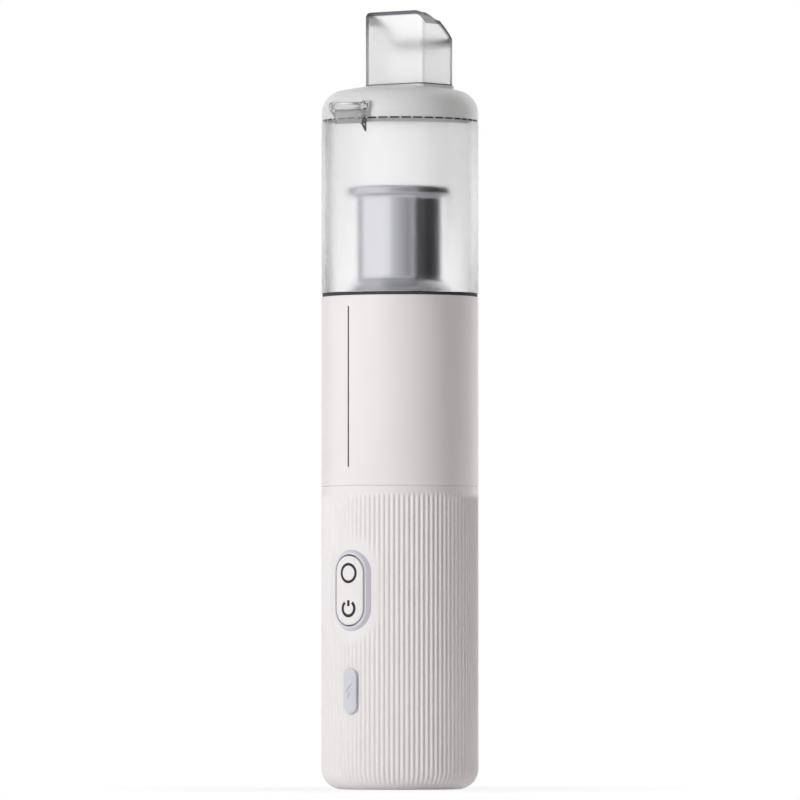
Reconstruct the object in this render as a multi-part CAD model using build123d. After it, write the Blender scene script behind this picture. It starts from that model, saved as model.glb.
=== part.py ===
from build123d import *
from math import atan2, cos, degrees, pi, radians, sin, sqrt
import os

# Handheld stick vacuum cleaner, standing on its base, in millimetres.
# The origin is the middle of the base, Z runs up to the nozzle, the key faces -Y.

# Outside of the body
body_radius = 30.0
case_wall = 2.3
grip_height = 115.5
sleeve_height = 72.5
base_round = 7.8
seam_round = 0.25

# Ribs of the grip
rib_count = 98
groove_radius = 0.8
groove_depth = 0.4
smooth_band = 4.0
pad_width = 24.0
pad_height = 40.0

# Clearances
fit_gap = 0.05
running_gap = 0.06
free_gap = 0.35

# Screws
screw_radius = 1.0
screw_head_radius = 1.9
screw_head_height = 1.4
screw_grip = 6.0

# Base plate with the exhaust slots
base_plate = 3.0
base_land = 0.5
base_ledge = 2.0
foot_shift = 1.0
foot_radius = 3.0
slot_width = 1.5
inner_slot_start_share = 0.23
inner_slot_end_share = 0.46
inner_slot_count = 12
outer_slot_start_share = 0.56
outer_slot_end_share = 0.85
outer_slot_count = 24

# Battery of three round cells
battery_room = 7.1
cell_height = 65.2
cell_space = 0.3
button_radius = 3.4
button_height = 0.8
strap_thickness = 0.2
strap_width = 7.0
tray_low = 10.0
tray_plate = 2.0
skirt_wall = 1.4
window_width = 10.0
column_room = 0.65
column_radius = 2.2
lid_plate = 2.0
air_hole_radius = 4.0

# Main board, its port and switches
board_room = 1.5
board_thickness = 1.6
board_width = 20.0
board_height = 82.0
board_screw_radius = 0.8
board_boss = 5.0
board_boss_heights = (27.0, 55.0)
port_height = 37.5
port_width = 3.2
port_length = 9.0
port_wall = 0.35
port_setback = 1.1
tongue_thickness = 0.7
tongue_length = 6.6
switch_side = 6.0
switch_depth = 3.5
stem_radius = 1.75
stem_travel_room = 0.45
stem_height = 0.8

# Key and bezel
key_height = 75.65
key_width = 13.2
key_length = 26.6
key_thickness = 1.9
key_proud = 1.65
key_gap = 0.35
key_edge = 0.5
key_post_radius = 1.5
key_lug_width = 6.0
pivot_depth = 2.1
pivot_radius = 0.6
pivot_seat = 0.7
bezel_side_rim = 2.2
bezel_end_rim = 3.1
bezel_proud = 1.4
bezel_slope_run = 1.82
bezel_slope_drop = 2.72
bezel_sleeve_wall = 1.05
bezel_sleeve_depth = 3.7

# Port cover
cover_width = 6.9
cover_length = 17.4
cover_thickness = 0.95
cover_edge = 0.3
cover_seat_gap = 0.05
plug_width = 4.9
plug_length = 12.9
plug_depth = 2.0
plug_gap = 0.3
cover_hinge_groove = 0.85

# Motor carrier
carrier_drop = 12.0
carrier_floor = 4.0
carrier_wall = 2.0
lug_height = 8.0
lug_width = 9.0
ledge_drop = 5.5
ledge_thickness = 2.0
ledge_rim_wall = 1.0
ledge_rim_height = 3.0
boss_radius = 2.3
boss_height = 12.0
vent_radius = 1.5
vent_count = 12
mount_recess = 1.0

# Fan motor
air_passage = 3.5
motor_wall = 0.8
motor_base = 1.2
motor_height = 33.0
mount_wall = 1.9
mount_floor = 2.0
mount_lip = 7.5
shaft_radius = 1.5
bearing_radius = 4.0
bearing_width = 3.0
hub_wall = 1.5
core_head_room = 7.5
core_step = 1.0
core_start = 7.5
yoke_width = 2.7
tooth_width = 3.0
tooth_count = 6
coil_build = 1.5
magnet_share = 0.34
magnet_gap = 0.5
tip_depth = 1.1
end_cap_plate = 1.5
end_cap_plug = 2.5
motor_hole_radius = 1.9

# Fan
shroud_room = 0.3
impeller_gap = 0.7
impeller_lift = 3.0
back_plate = 1.5
blade_height = 10.0
blade_thickness = 0.9
blade_count = 9
blade_sweep = 48.0
fan_hub_radius = 4.5
nut_radius = 2.6
nut_height = 2.5
shaft_end = 0.6
shroud_wall = 1.0
shroud_plate = 2.0
inlet_share = 0.57
inlet_lip_wall = 1.0
inlet_lip_height = 2.0
vane_count = 12
vane_thickness = 0.8
diffuser_ring = 0.8
gasket_height = 4.0
gasket_width = 3.4

# Driver board under the carrier
driver_room = 4.95
driver_thickness = 1.6
driver_post_height = 3.0
driver_post_radius = 2.2
driver_post_inset = 3.0

# Intake plate and filter seat
intake_floor = 3.0
intake_depth = 7.0
funnel_wall = 1.6
funnel_room = 3.2
guard_bar = 1.6

# Dust cup and its seal
cup_seal_height = 1.2
cup_seal_recess = 0.3
cup_height = 65.8
cup_wall = 2.0
cup_flange = 1.6
cup_skirt_gap = 0.15
cup_skirt_wall = 1.7
cup_skirt_drop = 6.5

# Filter
filter_seal_height = 2.0
filter_seal_inset = 0.3
filter_seal_width = 3.4
filter_base_room = 3.4
filter_base_width = 8.95
filter_base_height = 7.0
filter_cone_height = 5.0
filter_cone_land = 0.7
tube_inset = 5.45
tube_wall = 0.5
tube_height = 31.6
tube_bead = 0.6
tube_slot_count = 36
tube_slot_width = 0.6
tube_slot_margin = 4.0
socket_wall = 1.4
socket_height = 2.0
filter_cap_overhang = 3.5
filter_cap_height = 3.2
filter_cap_round = 1.2
pleat_count = 36
pleat_room = 2.5
pleat_depth = 3.3
pleat_paper = 0.7

# Front cap
cap_seal_height = 0.6
cap_seal_inset = 0.35
cap_wall = 2.2
cap_straight = 2.8
cap_shoulder = 8.7
cap_shoulder_sweep = 79.0
cap_dome_rise = 2.1
register_depth = 1.4
register_wall = 1.3
register_gap = 0.5
register_root = 1.4
thumb_width = 12.0
thumb_reach = 1.6
thumb_height = 1.8

# Cap hinge
hinge_proud = 1.0
hinge_rise = 4.0
pin_radius = 0.9
pin_length = 18.0
knuckle_radius = 1.55
leaf_width = 13.2
leaf_thickness = 1.25
leaf_drop = 1.8
ear_radius = 2.1
ear_width = 1.5
ear_gap = 0.3
rib_drop = 3.4
rib_thickness = 1.0

# Nozzle and its socket in the cap
nozzle_width = 28.5
nozzle_depth = 20.7
nozzle_offset = 5.6
nozzle_height = 27.7
nozzle_wall = 1.7
nozzle_corner = 2.5
nozzle_shoulder = 0.8
nozzle_plug = 8.0
nozzle_seal_height = 0.5
mouth_drop = 11.8
mouth_bulge = 2.5
mouth_corner = 3.6
socket_gap = 0.25
collar_wall = 1.6
collar_drop = 8.7
boss_land = 0.5

# Inlet flap
flap_thickness = 1.3
flap_overlap = 1.0
flap_seat_gap = 0.3
flap_pin_radius = 0.75
flap_knuckle_radius = 1.5
flap_knuckle_width = 18.0
flap_lug_width = 2.0
flap_lug_gap = 0.3
flap_pin_seat = 1.5

# Radii and heights that follow from the sizes above, from the casing inwards and upwards
case_bore = body_radius - case_wall
sleeve_top = grip_height + sleeve_height
cup_low = sleeve_top + cup_seal_height
cup_top = cup_low + cup_height
cup_bore = body_radius - cup_wall
cap_low = cup_top + cap_seal_height
cap_peak = cap_low + cap_straight + cap_shoulder + cap_dome_rise
key_press_offset = (key_length - key_width) / 2

# Battery: three equal cells that touch the tray's rim, with a column between each two
sin_third = sin(pi / 3)
tray_radius = case_bore - battery_room
cell_radius = (tray_radius - 2 * cell_space - cell_space / (2 * sin_third)) / (1 + 1 / sin_third)
cell_circle = (cell_radius + cell_space / 2) / sin_third
column_reach = cell_radius + column_room + column_radius
column_circle = cell_circle / 2 + sqrt(column_reach ** 2 - (cell_circle * sin_third) ** 2)
foot_circle = column_circle + foot_shift
tray_top = tray_low + tray_plate
cell_low = tray_top + strap_thickness
cell_top = cell_low + cell_height
lid_low = cell_top + strap_thickness
lid_top = lid_low + lid_plate
base_opening = body_radius - base_round - base_land
ledge_bore = tray_radius - skirt_wall
board_back = column_circle + column_radius + board_room
board_front = board_back + board_thickness

# Carrier, fan and motor: each fits inside the one before it
carrier_radius = case_bore - fit_gap
carrier_bore = carrier_radius - carrier_wall
carrier_floor_low = grip_height - carrier_drop
carrier_floor_top = carrier_floor_low + carrier_floor
carrier_screw_circle = carrier_bore - screw_head_radius - fit_gap
lug_bore = tray_radius + free_gap
driver_radius = lug_bore - driver_room
driver_post_circle = driver_radius - driver_post_inset
intake_radius = case_bore - fit_gap
cup_skirt_radius = case_bore - cup_skirt_gap
cup_skirt_bore = cup_skirt_radius - cup_skirt_wall
intake_screw_circle = cup_skirt_bore - screw_head_radius - free_gap
shroud_radius = intake_screw_circle - boss_radius - shroud_room
shroud_bore = shroud_radius - shroud_wall
impeller_radius = shroud_bore - impeller_gap
inlet_radius = inlet_share * impeller_radius
motor_radius = shroud_bore - air_passage
magnet_radius = magnet_share * motor_radius
mount_low = carrier_floor_top - mount_recess
motor_low = mount_low + mount_floor
motor_top = motor_low + motor_height
core_low = motor_low + core_start
core_top = motor_top - core_head_room
core_height = core_top - core_low
core_radius = motor_radius - motor_wall - fit_gap
shaft_bore = shaft_radius + fit_gap
bearing_seat = bearing_radius + fit_gap
shaft_hole = shaft_radius + free_gap
lower_bearing_low = motor_low + motor_base
upper_bearing_low = motor_top - bearing_width
ledge_low = motor_top - ledge_drop
ledge_top = ledge_low + ledge_thickness
fan_low = motor_top + end_cap_plate + impeller_lift
blade_low = fan_low + back_plate
blade_top = blade_low + blade_height
nut_low = blade_top + fit_gap
shroud_under = blade_top + impeller_gap
shroud_top = shroud_under + shroud_plate
gasket_bore = inlet_radius + inlet_lip_wall + fit_gap
gasket_top = shroud_top + gasket_height

# Intake and filter
intake_top = sleeve_top - intake_depth
carrier_top = intake_top - intake_floor
intake_bore = intake_screw_circle - boss_radius - funnel_wall - funnel_room
filter_seal_bore = intake_bore + filter_seal_inset
filter_low = intake_top + filter_seal_height
cone_low = filter_low + filter_base_height
cone_top = cone_low + filter_cone_height
filter_base_radius = cup_skirt_bore - filter_base_room
filter_bore = filter_base_radius - filter_base_width
tube_radius = filter_base_radius - tube_inset
tube_bore = tube_radius - tube_wall
tube_top = cone_top + tube_height
filter_cap_radius = tube_radius + filter_cap_overhang
filter_top = tube_top + filter_cap_height
pleat_radius = tube_radius - pleat_room
socket_radius = tube_bore - fit_gap

# Cap hinge and nozzle
hinge_y = -body_radius - hinge_proud
hinge_z = cap_low + hinge_rise
collar_low = cap_peak - collar_drop
nozzle_low = cap_peak + nozzle_seal_height
nozzle_top = nozzle_low + nozzle_height

# The three cells stand at the rear, left front and right front of the axis
cell_names = ("cell_rear", "cell_left", "cell_right")
cell_angles = {name: 90 + step * 360 / 3 for step, name in enumerate(cell_names)}
column_angles = [30 + step * 360 / 3 for step in range(3)]
standing = (Align.CENTER, Align.CENTER, Align.MIN)


def disc(radius, low, high):
    """A solid round about the Z axis, between two heights."""
    return Pos(0, 0, low) * Cylinder(radius, high - low, align=standing)


def post(radius, low, high, circle, angle):
    """An upright round post at a distance and angle from the axis."""
    return Rot(0, 0, angle) * Pos(circle, 0, 0) * disc(radius, low, high)


def ring(outer, inner, low, high):
    """A plain tube about the Z axis."""
    return disc(outer, low, high) - disc(inner, low, high)


def turned(*corners):
    """A solid turned about the Z axis from (radius, height) corners."""
    return revolve(Plane.XZ * make_face(Polyline(*corners, close=True)), Axis.Z)


def block(width, front, back, low, high, middle=0.0):
    """A box that is centred on x = middle."""
    size = Box(width, back - front, high - low)
    return Pos(middle, (front + back) / 2, (low + high) / 2) * size


def rod_x(radius, length, y, z, middle=0.0):
    """A round rod along X."""
    return Pos(middle, y, z) * Rot(0, 90, 0) * Cylinder(radius, length)


def rod_y(radius, front, back, z):
    """A round rod along Y, in the middle plane."""
    return Pos(0, (front + back) / 2, z) * Rot(90, 0, 0) * Cylinder(radius, back - front)


def pill(width, length, front, back, z, slope=0.0):
    """An upright pill-shaped block that faces -Y, centred at height z. Its sides may slope inwards to the front."""
    outline = Plane.XZ.offset(-back) * Pos(0, z) * SlotOverall(length, width, rotation=90)
    return extrude(outline, amount=back - front, taper=slope)


def spaced(piece, count, start=0.0):
    """Copies of a piece, evenly spaced about the Z axis."""
    return [Rot(0, 0, start + step * 360 / count) * piece for step in range(count)]


def side_plate(corners, thickness, middle):
    """A flat plate square to X, from (y, z) corners."""
    outline = Plane.YZ * make_face(Polyline(*corners, close=True))
    return Pos(middle, 0, 0) * extrude(outline, amount=thickness / 2, both=True)


def screw_down(low_of_head, circle, angle):
    """A screw whose head sits on a face and whose shank points down."""
    head = post(screw_head_radius, low_of_head, low_of_head + screw_head_height, circle, angle)
    return head + post(screw_radius, low_of_head - screw_grip, low_of_head, circle, angle)


def rib_grooves():
    """Upright round-bottomed grooves that leave the ribs, a smooth band on top and a smooth pad."""
    circle = body_radius + groove_radius - groove_depth
    top = grip_height - smooth_band
    grooves = []
    for step in range(rib_count):
        angle = 270 + (step + 0.5) * 360 / rib_count
        aside = body_radius * sin(radians(angle - 270))
        faces_front = cos(radians(angle - 270)) > 0
        if faces_front and abs(aside) < pad_width / 2:
            reach = (pad_height - pad_width) / 2 + sqrt((pad_width / 2) ** 2 - aside ** 2)
            grooves.append(post(groove_radius, 0, key_height - reach, circle, angle))
            grooves.append(post(groove_radius, key_height + reach, top, circle, angle))
        else:
            grooves.append(post(groove_radius, 0, top, circle, angle))
    return grooves


def carrier_lugs():
    """Three blocks inside the grip that the motor carrier stands on, with screw holes."""
    reach = body_radius - case_wall / 2
    lug = Pos((lug_bore + reach) / 2, 0, carrier_floor_low - lug_height / 2)
    lugs = spaced(lug * Box(reach - lug_bore, lug_width, lug_height), 3, 90)
    hole = disc(screw_radius + fit_gap, carrier_floor_low - lug_height, carrier_floor_low)
    holes = spaced(Pos(carrier_screw_circle, 0, 0) * hole, 3, 90)
    return Part() + lugs - holes


def make_grip_shell():
    outside = disc(body_radius, 0, grip_height)
    rims = outside.edges().filter_by(GeomType.CIRCLE).sort_by(Axis.Z)
    outside = fillet(rims[-1], seam_round)
    outside = fillet(outside.edges().filter_by(GeomType.CIRCLE).sort_by(Axis.Z)[0], base_round)
    ledge_face = base_plate + base_ledge
    cavity = disc(case_bore, ledge_face, grip_height + 1)
    floor_rim = cavity.edges().filter_by(GeomType.CIRCLE).sort_by(Axis.Z)[0]
    cavity = fillet(floor_rim, base_round - case_wall)
    shell = outside - cavity
    shell -= disc(base_opening, 0, base_plate)
    shell -= disc(ledge_bore, 0, ledge_face)
    shell += carrier_lugs()
    shell -= pill(*key_opening(bezel_sleeve_wall + fit_gap), -2 * body_radius, 0, key_height)
    shell -= pill(plug_width + 2 * plug_gap, plug_length + 2 * plug_gap, -2 * body_radius, 0, port_height)
    shell -= rod_x(cover_hinge_groove, cover_width, cover_axis_y(), cover_axis_z())
    return shell - rib_grooves()


def cover_axis_y():
    return -body_radius - cover_seat_gap - cover_thickness / 2


def cover_axis_z():
    return port_height - (cover_length - cover_thickness) / 2


def exhaust_slots(start_share, end_share, count):
    """Round-ended slots that point away from the axis, left out where a screw is near."""
    start = start_share * base_opening
    end = end_share * base_opening
    outline = Pos((start + end) / 2, 0) * SlotOverall(end - start, slot_width)
    slot = extrude(outline, amount=base_plate)
    room = screw_head_radius + slot_width / 2 + case_wall / 2
    slots = []
    for step in range(count):
        angle = step * 360 / count
        away = min(abs((angle - screw + 180) % 360 - 180) for screw in column_angles)
        crosses = start < foot_circle + screw_head_radius and end > foot_circle - screw_head_radius
        if not crosses or foot_circle * sin(radians(min(away, 90))) > room:
            slots.append(Rot(0, 0, angle) * slot)
    return slots


def make_base_cap():
    cap = disc(base_opening - fit_gap, 0, base_plate)
    cap -= exhaust_slots(inner_slot_start_share, inner_slot_end_share, inner_slot_count)
    cap -= exhaust_slots(outer_slot_start_share, outer_slot_end_share, outer_slot_count)
    for angle in column_angles:
        cap -= post(screw_radius + fit_gap, 0, base_plate, foot_circle, angle)
        cap -= post(screw_head_radius + fit_gap, 0, screw_head_height + fit_gap, foot_circle, angle)
    return cap


def make_base_screws():
    screws = []
    for angle in column_angles:
        head_top = screw_head_height + fit_gap
        head = post(screw_head_radius, fit_gap, head_top, foot_circle, angle)
        screws.append(head + post(screw_radius, head_top, head_top + screw_grip, foot_circle, angle))
    return Part() + screws


def make_battery_tray():
    ledge_face = base_plate + base_ledge
    tray = disc(tray_radius, tray_low, tray_top)
    tray += ring(tray_radius, tray_radius - skirt_wall, ledge_face, tray_low)
    window = Pos(tray_radius, 0, (ledge_face + tray_low) / 2)
    window *= Box(6 * skirt_wall, window_width, tray_low - ledge_face)
    tray -= spaced(window, 6)
    tray -= disc(air_hole_radius, tray_low, tray_top)
    for angle in column_angles:
        tray += post(foot_radius, base_plate, tray_low, foot_circle, angle)
        tray += post(column_radius, tray_top, lid_low, column_circle, angle)
        tray -= post(screw_radius + fit_gap, base_plate, tray_top, foot_circle, angle)
        tray -= post(screw_radius + fit_gap, lid_top - screw_grip - fit_gap, lid_low, column_circle, angle)
    for height in board_boss_heights:
        half = board_boss / 2
        tray += block(board_boss, -board_back, -column_circle, height - half, height + half)
        tray -= rod_y(board_screw_radius + fit_gap, -board_back, -column_circle, height)
    return tray


def make_cell(angle, button_up):
    body = disc(cell_radius, cell_low, cell_top - button_height)
    body = fillet(body.edges().filter_by(GeomType.CIRCLE), button_height)
    cell = body + disc(button_radius, cell_top - button_height, cell_top)
    if not button_up:
        cell = Pos(0, 0, cell_low + cell_top) * Rot(180, 0, 0) * cell
    return Rot(0, 0, angle) * Pos(cell_circle, 0, 0) * cell


def make_cell_strap(first, second, low):
    """A nickel strip that joins the ends of two neighbouring cells."""
    ends = []
    for angle in (first, second):
        ends.append(Vector(cell_circle * cos(radians(angle)), cell_circle * sin(radians(angle))))
    middle = (ends[0] + ends[1]) / 2
    direction = ends[1] - ends[0]
    turn = Vector(1, 0, 0).get_signed_angle(direction, Vector(0, 0, 1))
    strip = SlotCenterToCenter(direction.length, strap_width)
    return Pos(middle.X, middle.Y, low) * Rot(0, 0, turn) * extrude(strip, amount=strap_thickness)


def make_battery_lid():
    lid = disc(tray_radius, lid_low, lid_top) - disc(air_hole_radius, lid_low, lid_top)
    lid -= block(2 * tray_radius, -2 * tray_radius, -board_back + free_gap, lid_low, lid_top)
    for angle in column_angles:
        lid -= post(screw_radius + fit_gap, lid_low, lid_top, column_circle, angle)
    return lid


def make_main_board():
    board = block(board_width, -board_front, -board_back, tray_top, tray_top + board_height)
    for height in board_boss_heights:
        board -= rod_y(board_screw_radius + fit_gap, -board_front, -board_back, height)
    return board


def make_board_screws():
    screws = []
    for height in board_boss_heights:
        head = rod_y(2 * board_screw_radius, -board_front - board_screw_radius, -board_front, height)
        screws.append(head + rod_y(board_screw_radius, -board_front, -column_circle - 0.5, height))
    return Part() + screws


def make_usb_port():
    mouth = -(case_bore - port_setback)
    back = -board_front
    port = pill(port_width, port_length, mouth, back, port_height)
    inside = pill(port_width - 2 * port_wall, port_length - 2 * port_wall, mouth, back - port_wall, port_height)
    return port - inside


def make_usb_tongue():
    front = -(case_bore - port_setback) + port_wall
    half = tongue_length / 2
    return block(tongue_thickness, front, -board_front - port_wall, port_height - half, port_height + half)


def make_switch(height):
    half = switch_side / 2
    front = -board_front - switch_depth
    switch = block(switch_side, front, -board_front, height - half, height + half)
    return switch + rod_y(stem_radius, front - stem_height, front, height)


def key_opening(wall):
    """The width and length of the key's opening, with a wall round it."""
    room = 2 * (key_gap + wall)
    return key_width + room, key_length + room


def make_key_bezel():
    face_radius = body_radius + bezel_proud
    back = -case_bore - case_wall + bezel_sleeve_depth
    foot = bezel_slope_drop - face_radius
    slope = degrees(atan2(bezel_slope_run, bezel_slope_drop))
    width = key_width + 2 * bezel_side_rim
    length = key_length + 2 * bezel_end_rim
    collar = pill(width, length, foot, back, key_height)
    collar += pill(width, length, -face_radius, foot, key_height, slope)
    collar &= disc(face_radius, 0, grip_height)
    sleeve = collar & pill(*key_opening(bezel_sleeve_wall), -2 * body_radius, back, key_height)
    bezel = collar - disc(body_radius + fit_gap, 0, grip_height) + sleeve
    bezel -= pill(*key_opening(0), -2 * body_radius, 0, key_height)
    return bezel - rod_x(pivot_radius + fit_gap, pivot_pin_length() + 2 * fit_gap, pivot_y(), key_height)


def pivot_y():
    return -(body_radius - pivot_depth)


def pivot_pin_length():
    return key_width + 2 * key_gap + 2 * pivot_seat


def make_rocker_key():
    face_radius = body_radius + key_proud
    back = key_thickness - face_radius
    key = pill(key_width, key_length, -face_radius, back, key_height) & disc(face_radius, 0, grip_height)
    key = fillet(key.faces().sort_by(Axis.Y)[0].edges(), key_edge)
    lug_half = pivot_radius + 1.0
    key += block(key_lug_width, back, pivot_y(), key_height - lug_half, key_height + lug_half)
    key += rod_x(lug_half, key_lug_width, pivot_y(), key_height)
    key -= rod_x(pivot_radius + running_gap, key_width, pivot_y(), key_height)
    post_end = -board_front - switch_depth - stem_height - stem_travel_room
    for offset in (-key_press_offset, key_press_offset):
        key += rod_y(key_post_radius, back, post_end, key_height + offset)
    return key


def make_port_cover():
    face = -body_radius - cover_seat_gap - cover_thickness
    cover = pill(cover_width, cover_length, face, -body_radius + plug_depth, port_height)
    cover = fillet(cover.faces().sort_by(Axis.Y)[0].edges(), cover_edge)
    cover -= disc(body_radius + cover_seat_gap, 0, grip_height)
    plug = pill(plug_width, plug_length, face + cover_edge, -body_radius + plug_depth, port_height)
    return cover + plug


def make_sleeve():
    tube = ring(body_radius, case_bore, grip_height, sleeve_top)
    rims = tube.edges().filter_by(GeomType.CIRCLE).filter_by(lambda rim: rim.radius > case_bore + 0.1)
    return fillet(rims, seam_round)


def make_motor_carrier():
    shelf_bore = shroud_bore - fit_gap - diffuser_ring
    mount_radius = motor_radius + fit_gap + mount_wall
    carrier = ring(carrier_radius, carrier_bore, carrier_floor_low, carrier_top)
    carrier += disc(carrier_radius, carrier_floor_low, carrier_floor_top)
    carrier += ring(carrier_radius, shelf_bore, ledge_low, ledge_top)
    rim_bore = shroud_radius + fit_gap
    carrier += ring(rim_bore + ledge_rim_wall, rim_bore, ledge_top, ledge_top + ledge_rim_height)
    carrier -= disc(mount_radius + fit_gap, mount_low, carrier_floor_top)
    carrier -= disc(motor_radius - mount_lip, carrier_floor_low, mount_low)
    vent = disc(vent_radius, carrier_floor_low, carrier_floor_top)
    vent_circle = (mount_radius + carrier_bore) / 2
    carrier -= spaced(Pos(vent_circle, 0, 0) * vent, vent_count, 180 / vent_count)
    hole = screw_radius + fit_gap
    for angle in cell_angles.values():
        carrier -= post(hole, carrier_floor_low, carrier_floor_top, carrier_screw_circle, angle)
    for angle in column_angles:
        carrier += post(boss_radius, carrier_top - boss_height, carrier_top, intake_screw_circle, angle)
        carrier -= post(hole, carrier_top - boss_height, carrier_top, intake_screw_circle, angle)
        post_low = carrier_floor_low - driver_post_height
        carrier += post(driver_post_radius, post_low, carrier_floor_low, driver_post_circle, angle)
        hole_top = post_low - driver_thickness + screw_grip + fit_gap
        carrier -= post(hole, post_low, hole_top, driver_post_circle, angle)
    return carrier


def make_carrier_screws():
    screws = [screw_down(carrier_floor_top, carrier_screw_circle, angle) for angle in cell_angles.values()]
    return Part() + screws


def make_driver_board():
    top = carrier_floor_low - driver_post_height
    board = disc(driver_radius, top - driver_thickness, top)
    board -= disc(air_hole_radius, top - driver_thickness, top)
    for angle in column_angles:
        board -= post(screw_radius + fit_gap, top - driver_thickness, top, driver_post_circle, angle)
    return board


def make_driver_screws():
    face = carrier_floor_low - driver_post_height - driver_thickness
    screws = []
    for angle in column_angles:
        head = post(screw_head_radius, face - screw_head_height, face, driver_post_circle, angle)
        screws.append(head + post(screw_radius, face, face + screw_grip, driver_post_circle, angle))
    return Part() + screws


def make_lid_screws():
    return Part() + [screw_down(lid_top, column_circle, angle) for angle in column_angles]


def make_motor_mount():
    inner = motor_radius + fit_gap
    outer = inner + mount_wall
    mount = ring(outer, motor_radius - mount_lip, mount_low, motor_low)
    return mount + ring(outer, inner, motor_low, motor_low + core_start)


def motor_holes(low, high):
    """Air holes in the ends of the motor."""
    circle = (bearing_seat + hub_wall + motor_radius - motor_wall) / 2
    return spaced(Pos(circle, 0, 0) * disc(motor_hole_radius, low, high), tooth_count)


def make_motor_can():
    can = ring(motor_radius, motor_radius - motor_wall, motor_low, motor_top)
    can += disc(motor_radius, motor_low, lower_bearing_low)
    can += ring(motor_radius, core_radius - core_step, motor_low, core_low)
    can += disc(bearing_seat + hub_wall, motor_low, lower_bearing_low + bearing_width)
    can -= disc(bearing_seat, lower_bearing_low, lower_bearing_low + bearing_width)
    can -= disc(shaft_hole, motor_low, lower_bearing_low)
    return can - motor_holes(motor_low, lower_bearing_low)


def make_motor_end_cap():
    top = motor_top + end_cap_plate
    plug_radius = motor_radius - motor_wall - fit_gap
    cap = disc(motor_radius, motor_top, top)
    cap += ring(plug_radius, plug_radius - motor_wall, motor_top - end_cap_plug, motor_top)
    cap += disc(bearing_seat + hub_wall, upper_bearing_low, motor_top)
    cap -= disc(bearing_seat, upper_bearing_low, motor_top)
    cap -= disc(shaft_hole, motor_top, top)
    return cap - motor_holes(motor_top, top)


def make_bearing(low):
    return ring(bearing_radius, shaft_radius + running_gap, low, low + bearing_width)


def make_stator_core():
    tip_bore = magnet_radius + magnet_gap
    yoke_bore = core_radius - yoke_width
    core = ring(core_radius, yoke_bore, core_low, core_top)
    tips = ring(tip_bore + tip_depth, tip_bore, core_low, core_top)
    slot = Pos(tip_bore, 0, core_low) * Box(tip_bore, tooth_width / 2, core_height, align=standing)
    tips -= spaced(slot, tooth_count, 180 / tooth_count)
    tooth_start = tip_bore + tip_depth / 2
    tooth_length = core_radius - yoke_width / 2 - tooth_start
    tooth = Box(tooth_length, tooth_width, core_height, align=standing)
    tooth = Pos(tooth_start + tooth_length / 2, 0, core_low) * tooth
    return core + tips + spaced(tooth, tooth_count)


def make_stator_coils():
    start = magnet_radius + magnet_gap + tip_depth + fit_gap
    width = tooth_width + 2 * coil_build
    yoke_bore = core_radius - yoke_width - fit_gap
    end = sqrt(yoke_bore ** 2 - (width / 2) ** 2)
    height = core_height + 2 * coil_build
    coil = Box(end - start, width, height)
    coil -= Box(end - start, tooth_width + 2 * fit_gap, core_height + 2 * fit_gap)
    coil = Pos((start + end) / 2, 0, (core_low + core_top) / 2) * coil
    return Part() + spaced(coil, tooth_count)


def make_motor_shaft():
    return disc(shaft_radius, lower_bearing_low + fit_gap, nut_low + nut_height + shaft_end)


def make_rotor_magnet():
    return ring(magnet_radius, shaft_bore, core_low, core_top)


def make_impeller():
    wheel = disc(impeller_radius, fan_low, blade_low) + disc(fan_hub_radius, blade_low, blade_top)
    root = (fan_hub_radius - blade_thickness, 0)
    reach = impeller_radius - blade_thickness
    tip = (reach * cos(radians(blade_sweep)), reach * sin(radians(blade_sweep)))
    curve = RadiusArc(root, tip, reach)
    blade = Pos(0, 0, blade_low) * extrude(trace(curve, blade_thickness), amount=blade_height)
    wheel += spaced(blade, blade_count)
    return wheel - disc(shaft_bore, fan_low, blade_top)


def make_impeller_nut():
    nut = extrude(RegularPolygon(nut_radius, 6), amount=nut_height)
    return Pos(0, 0, nut_low) * nut - disc(shaft_bore, nut_low, nut_low + nut_height)


def make_diffuser():
    top = fan_low - impeller_gap
    outer = shroud_bore - fit_gap
    inner = motor_radius + fit_gap
    collar_end = motor_top
    diffuser = ring(outer, outer - diffuser_ring, ledge_top, top)
    diffuser += ring(inner + diffuser_ring, inner, ledge_top, collar_end)
    start = inner + diffuser_ring / 2
    length = outer - diffuser_ring / 2 - start
    vane = Pos(start + length / 2, 0, ledge_top)
    vane *= Box(length, vane_thickness, collar_end - ledge_top, align=standing)
    return diffuser + spaced(vane, vane_count)


def make_fan_shroud():
    shroud = ring(shroud_radius, shroud_bore, ledge_top, shroud_under)
    shroud += ring(shroud_radius, inlet_radius, shroud_under, shroud_top)
    lip = inlet_radius + inlet_lip_wall
    return shroud + ring(lip, inlet_radius, shroud_top, shroud_top + inlet_lip_height)


def make_shroud_gasket():
    return ring(gasket_bore + gasket_width, gasket_bore, shroud_top, gasket_top)


def make_intake_plate():
    plate = disc(intake_radius, carrier_top, intake_top)
    plate -= disc(intake_bore, carrier_top, intake_top)
    plate += turned(
        (gasket_bore, gasket_top),
        (gasket_bore + funnel_wall, gasket_top),
        (intake_bore + funnel_wall, carrier_top + funnel_wall),
        (intake_bore, carrier_top + funnel_wall),
    )
    bar = block(2 * intake_bore + funnel_wall, -guard_bar / 2, guard_bar / 2, carrier_top, carrier_top + guard_bar)
    plate += [Rot(0, 0, step * 60) * bar for step in range(3)]
    head_low = intake_top - screw_head_height - fit_gap
    for angle in column_angles:
        plate -= post(screw_radius + fit_gap, carrier_top, intake_top, intake_screw_circle, angle)
        plate -= post(screw_head_radius + fit_gap, head_low, intake_top, intake_screw_circle, angle)
    return plate


def make_intake_screws():
    head_low = intake_top - screw_head_height - fit_gap
    return Part() + [screw_down(head_low, intake_screw_circle, angle) for angle in column_angles]


def make_cup_seal():
    return ring(body_radius - cup_seal_recess, case_bore, sleeve_top, cup_low)


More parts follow.
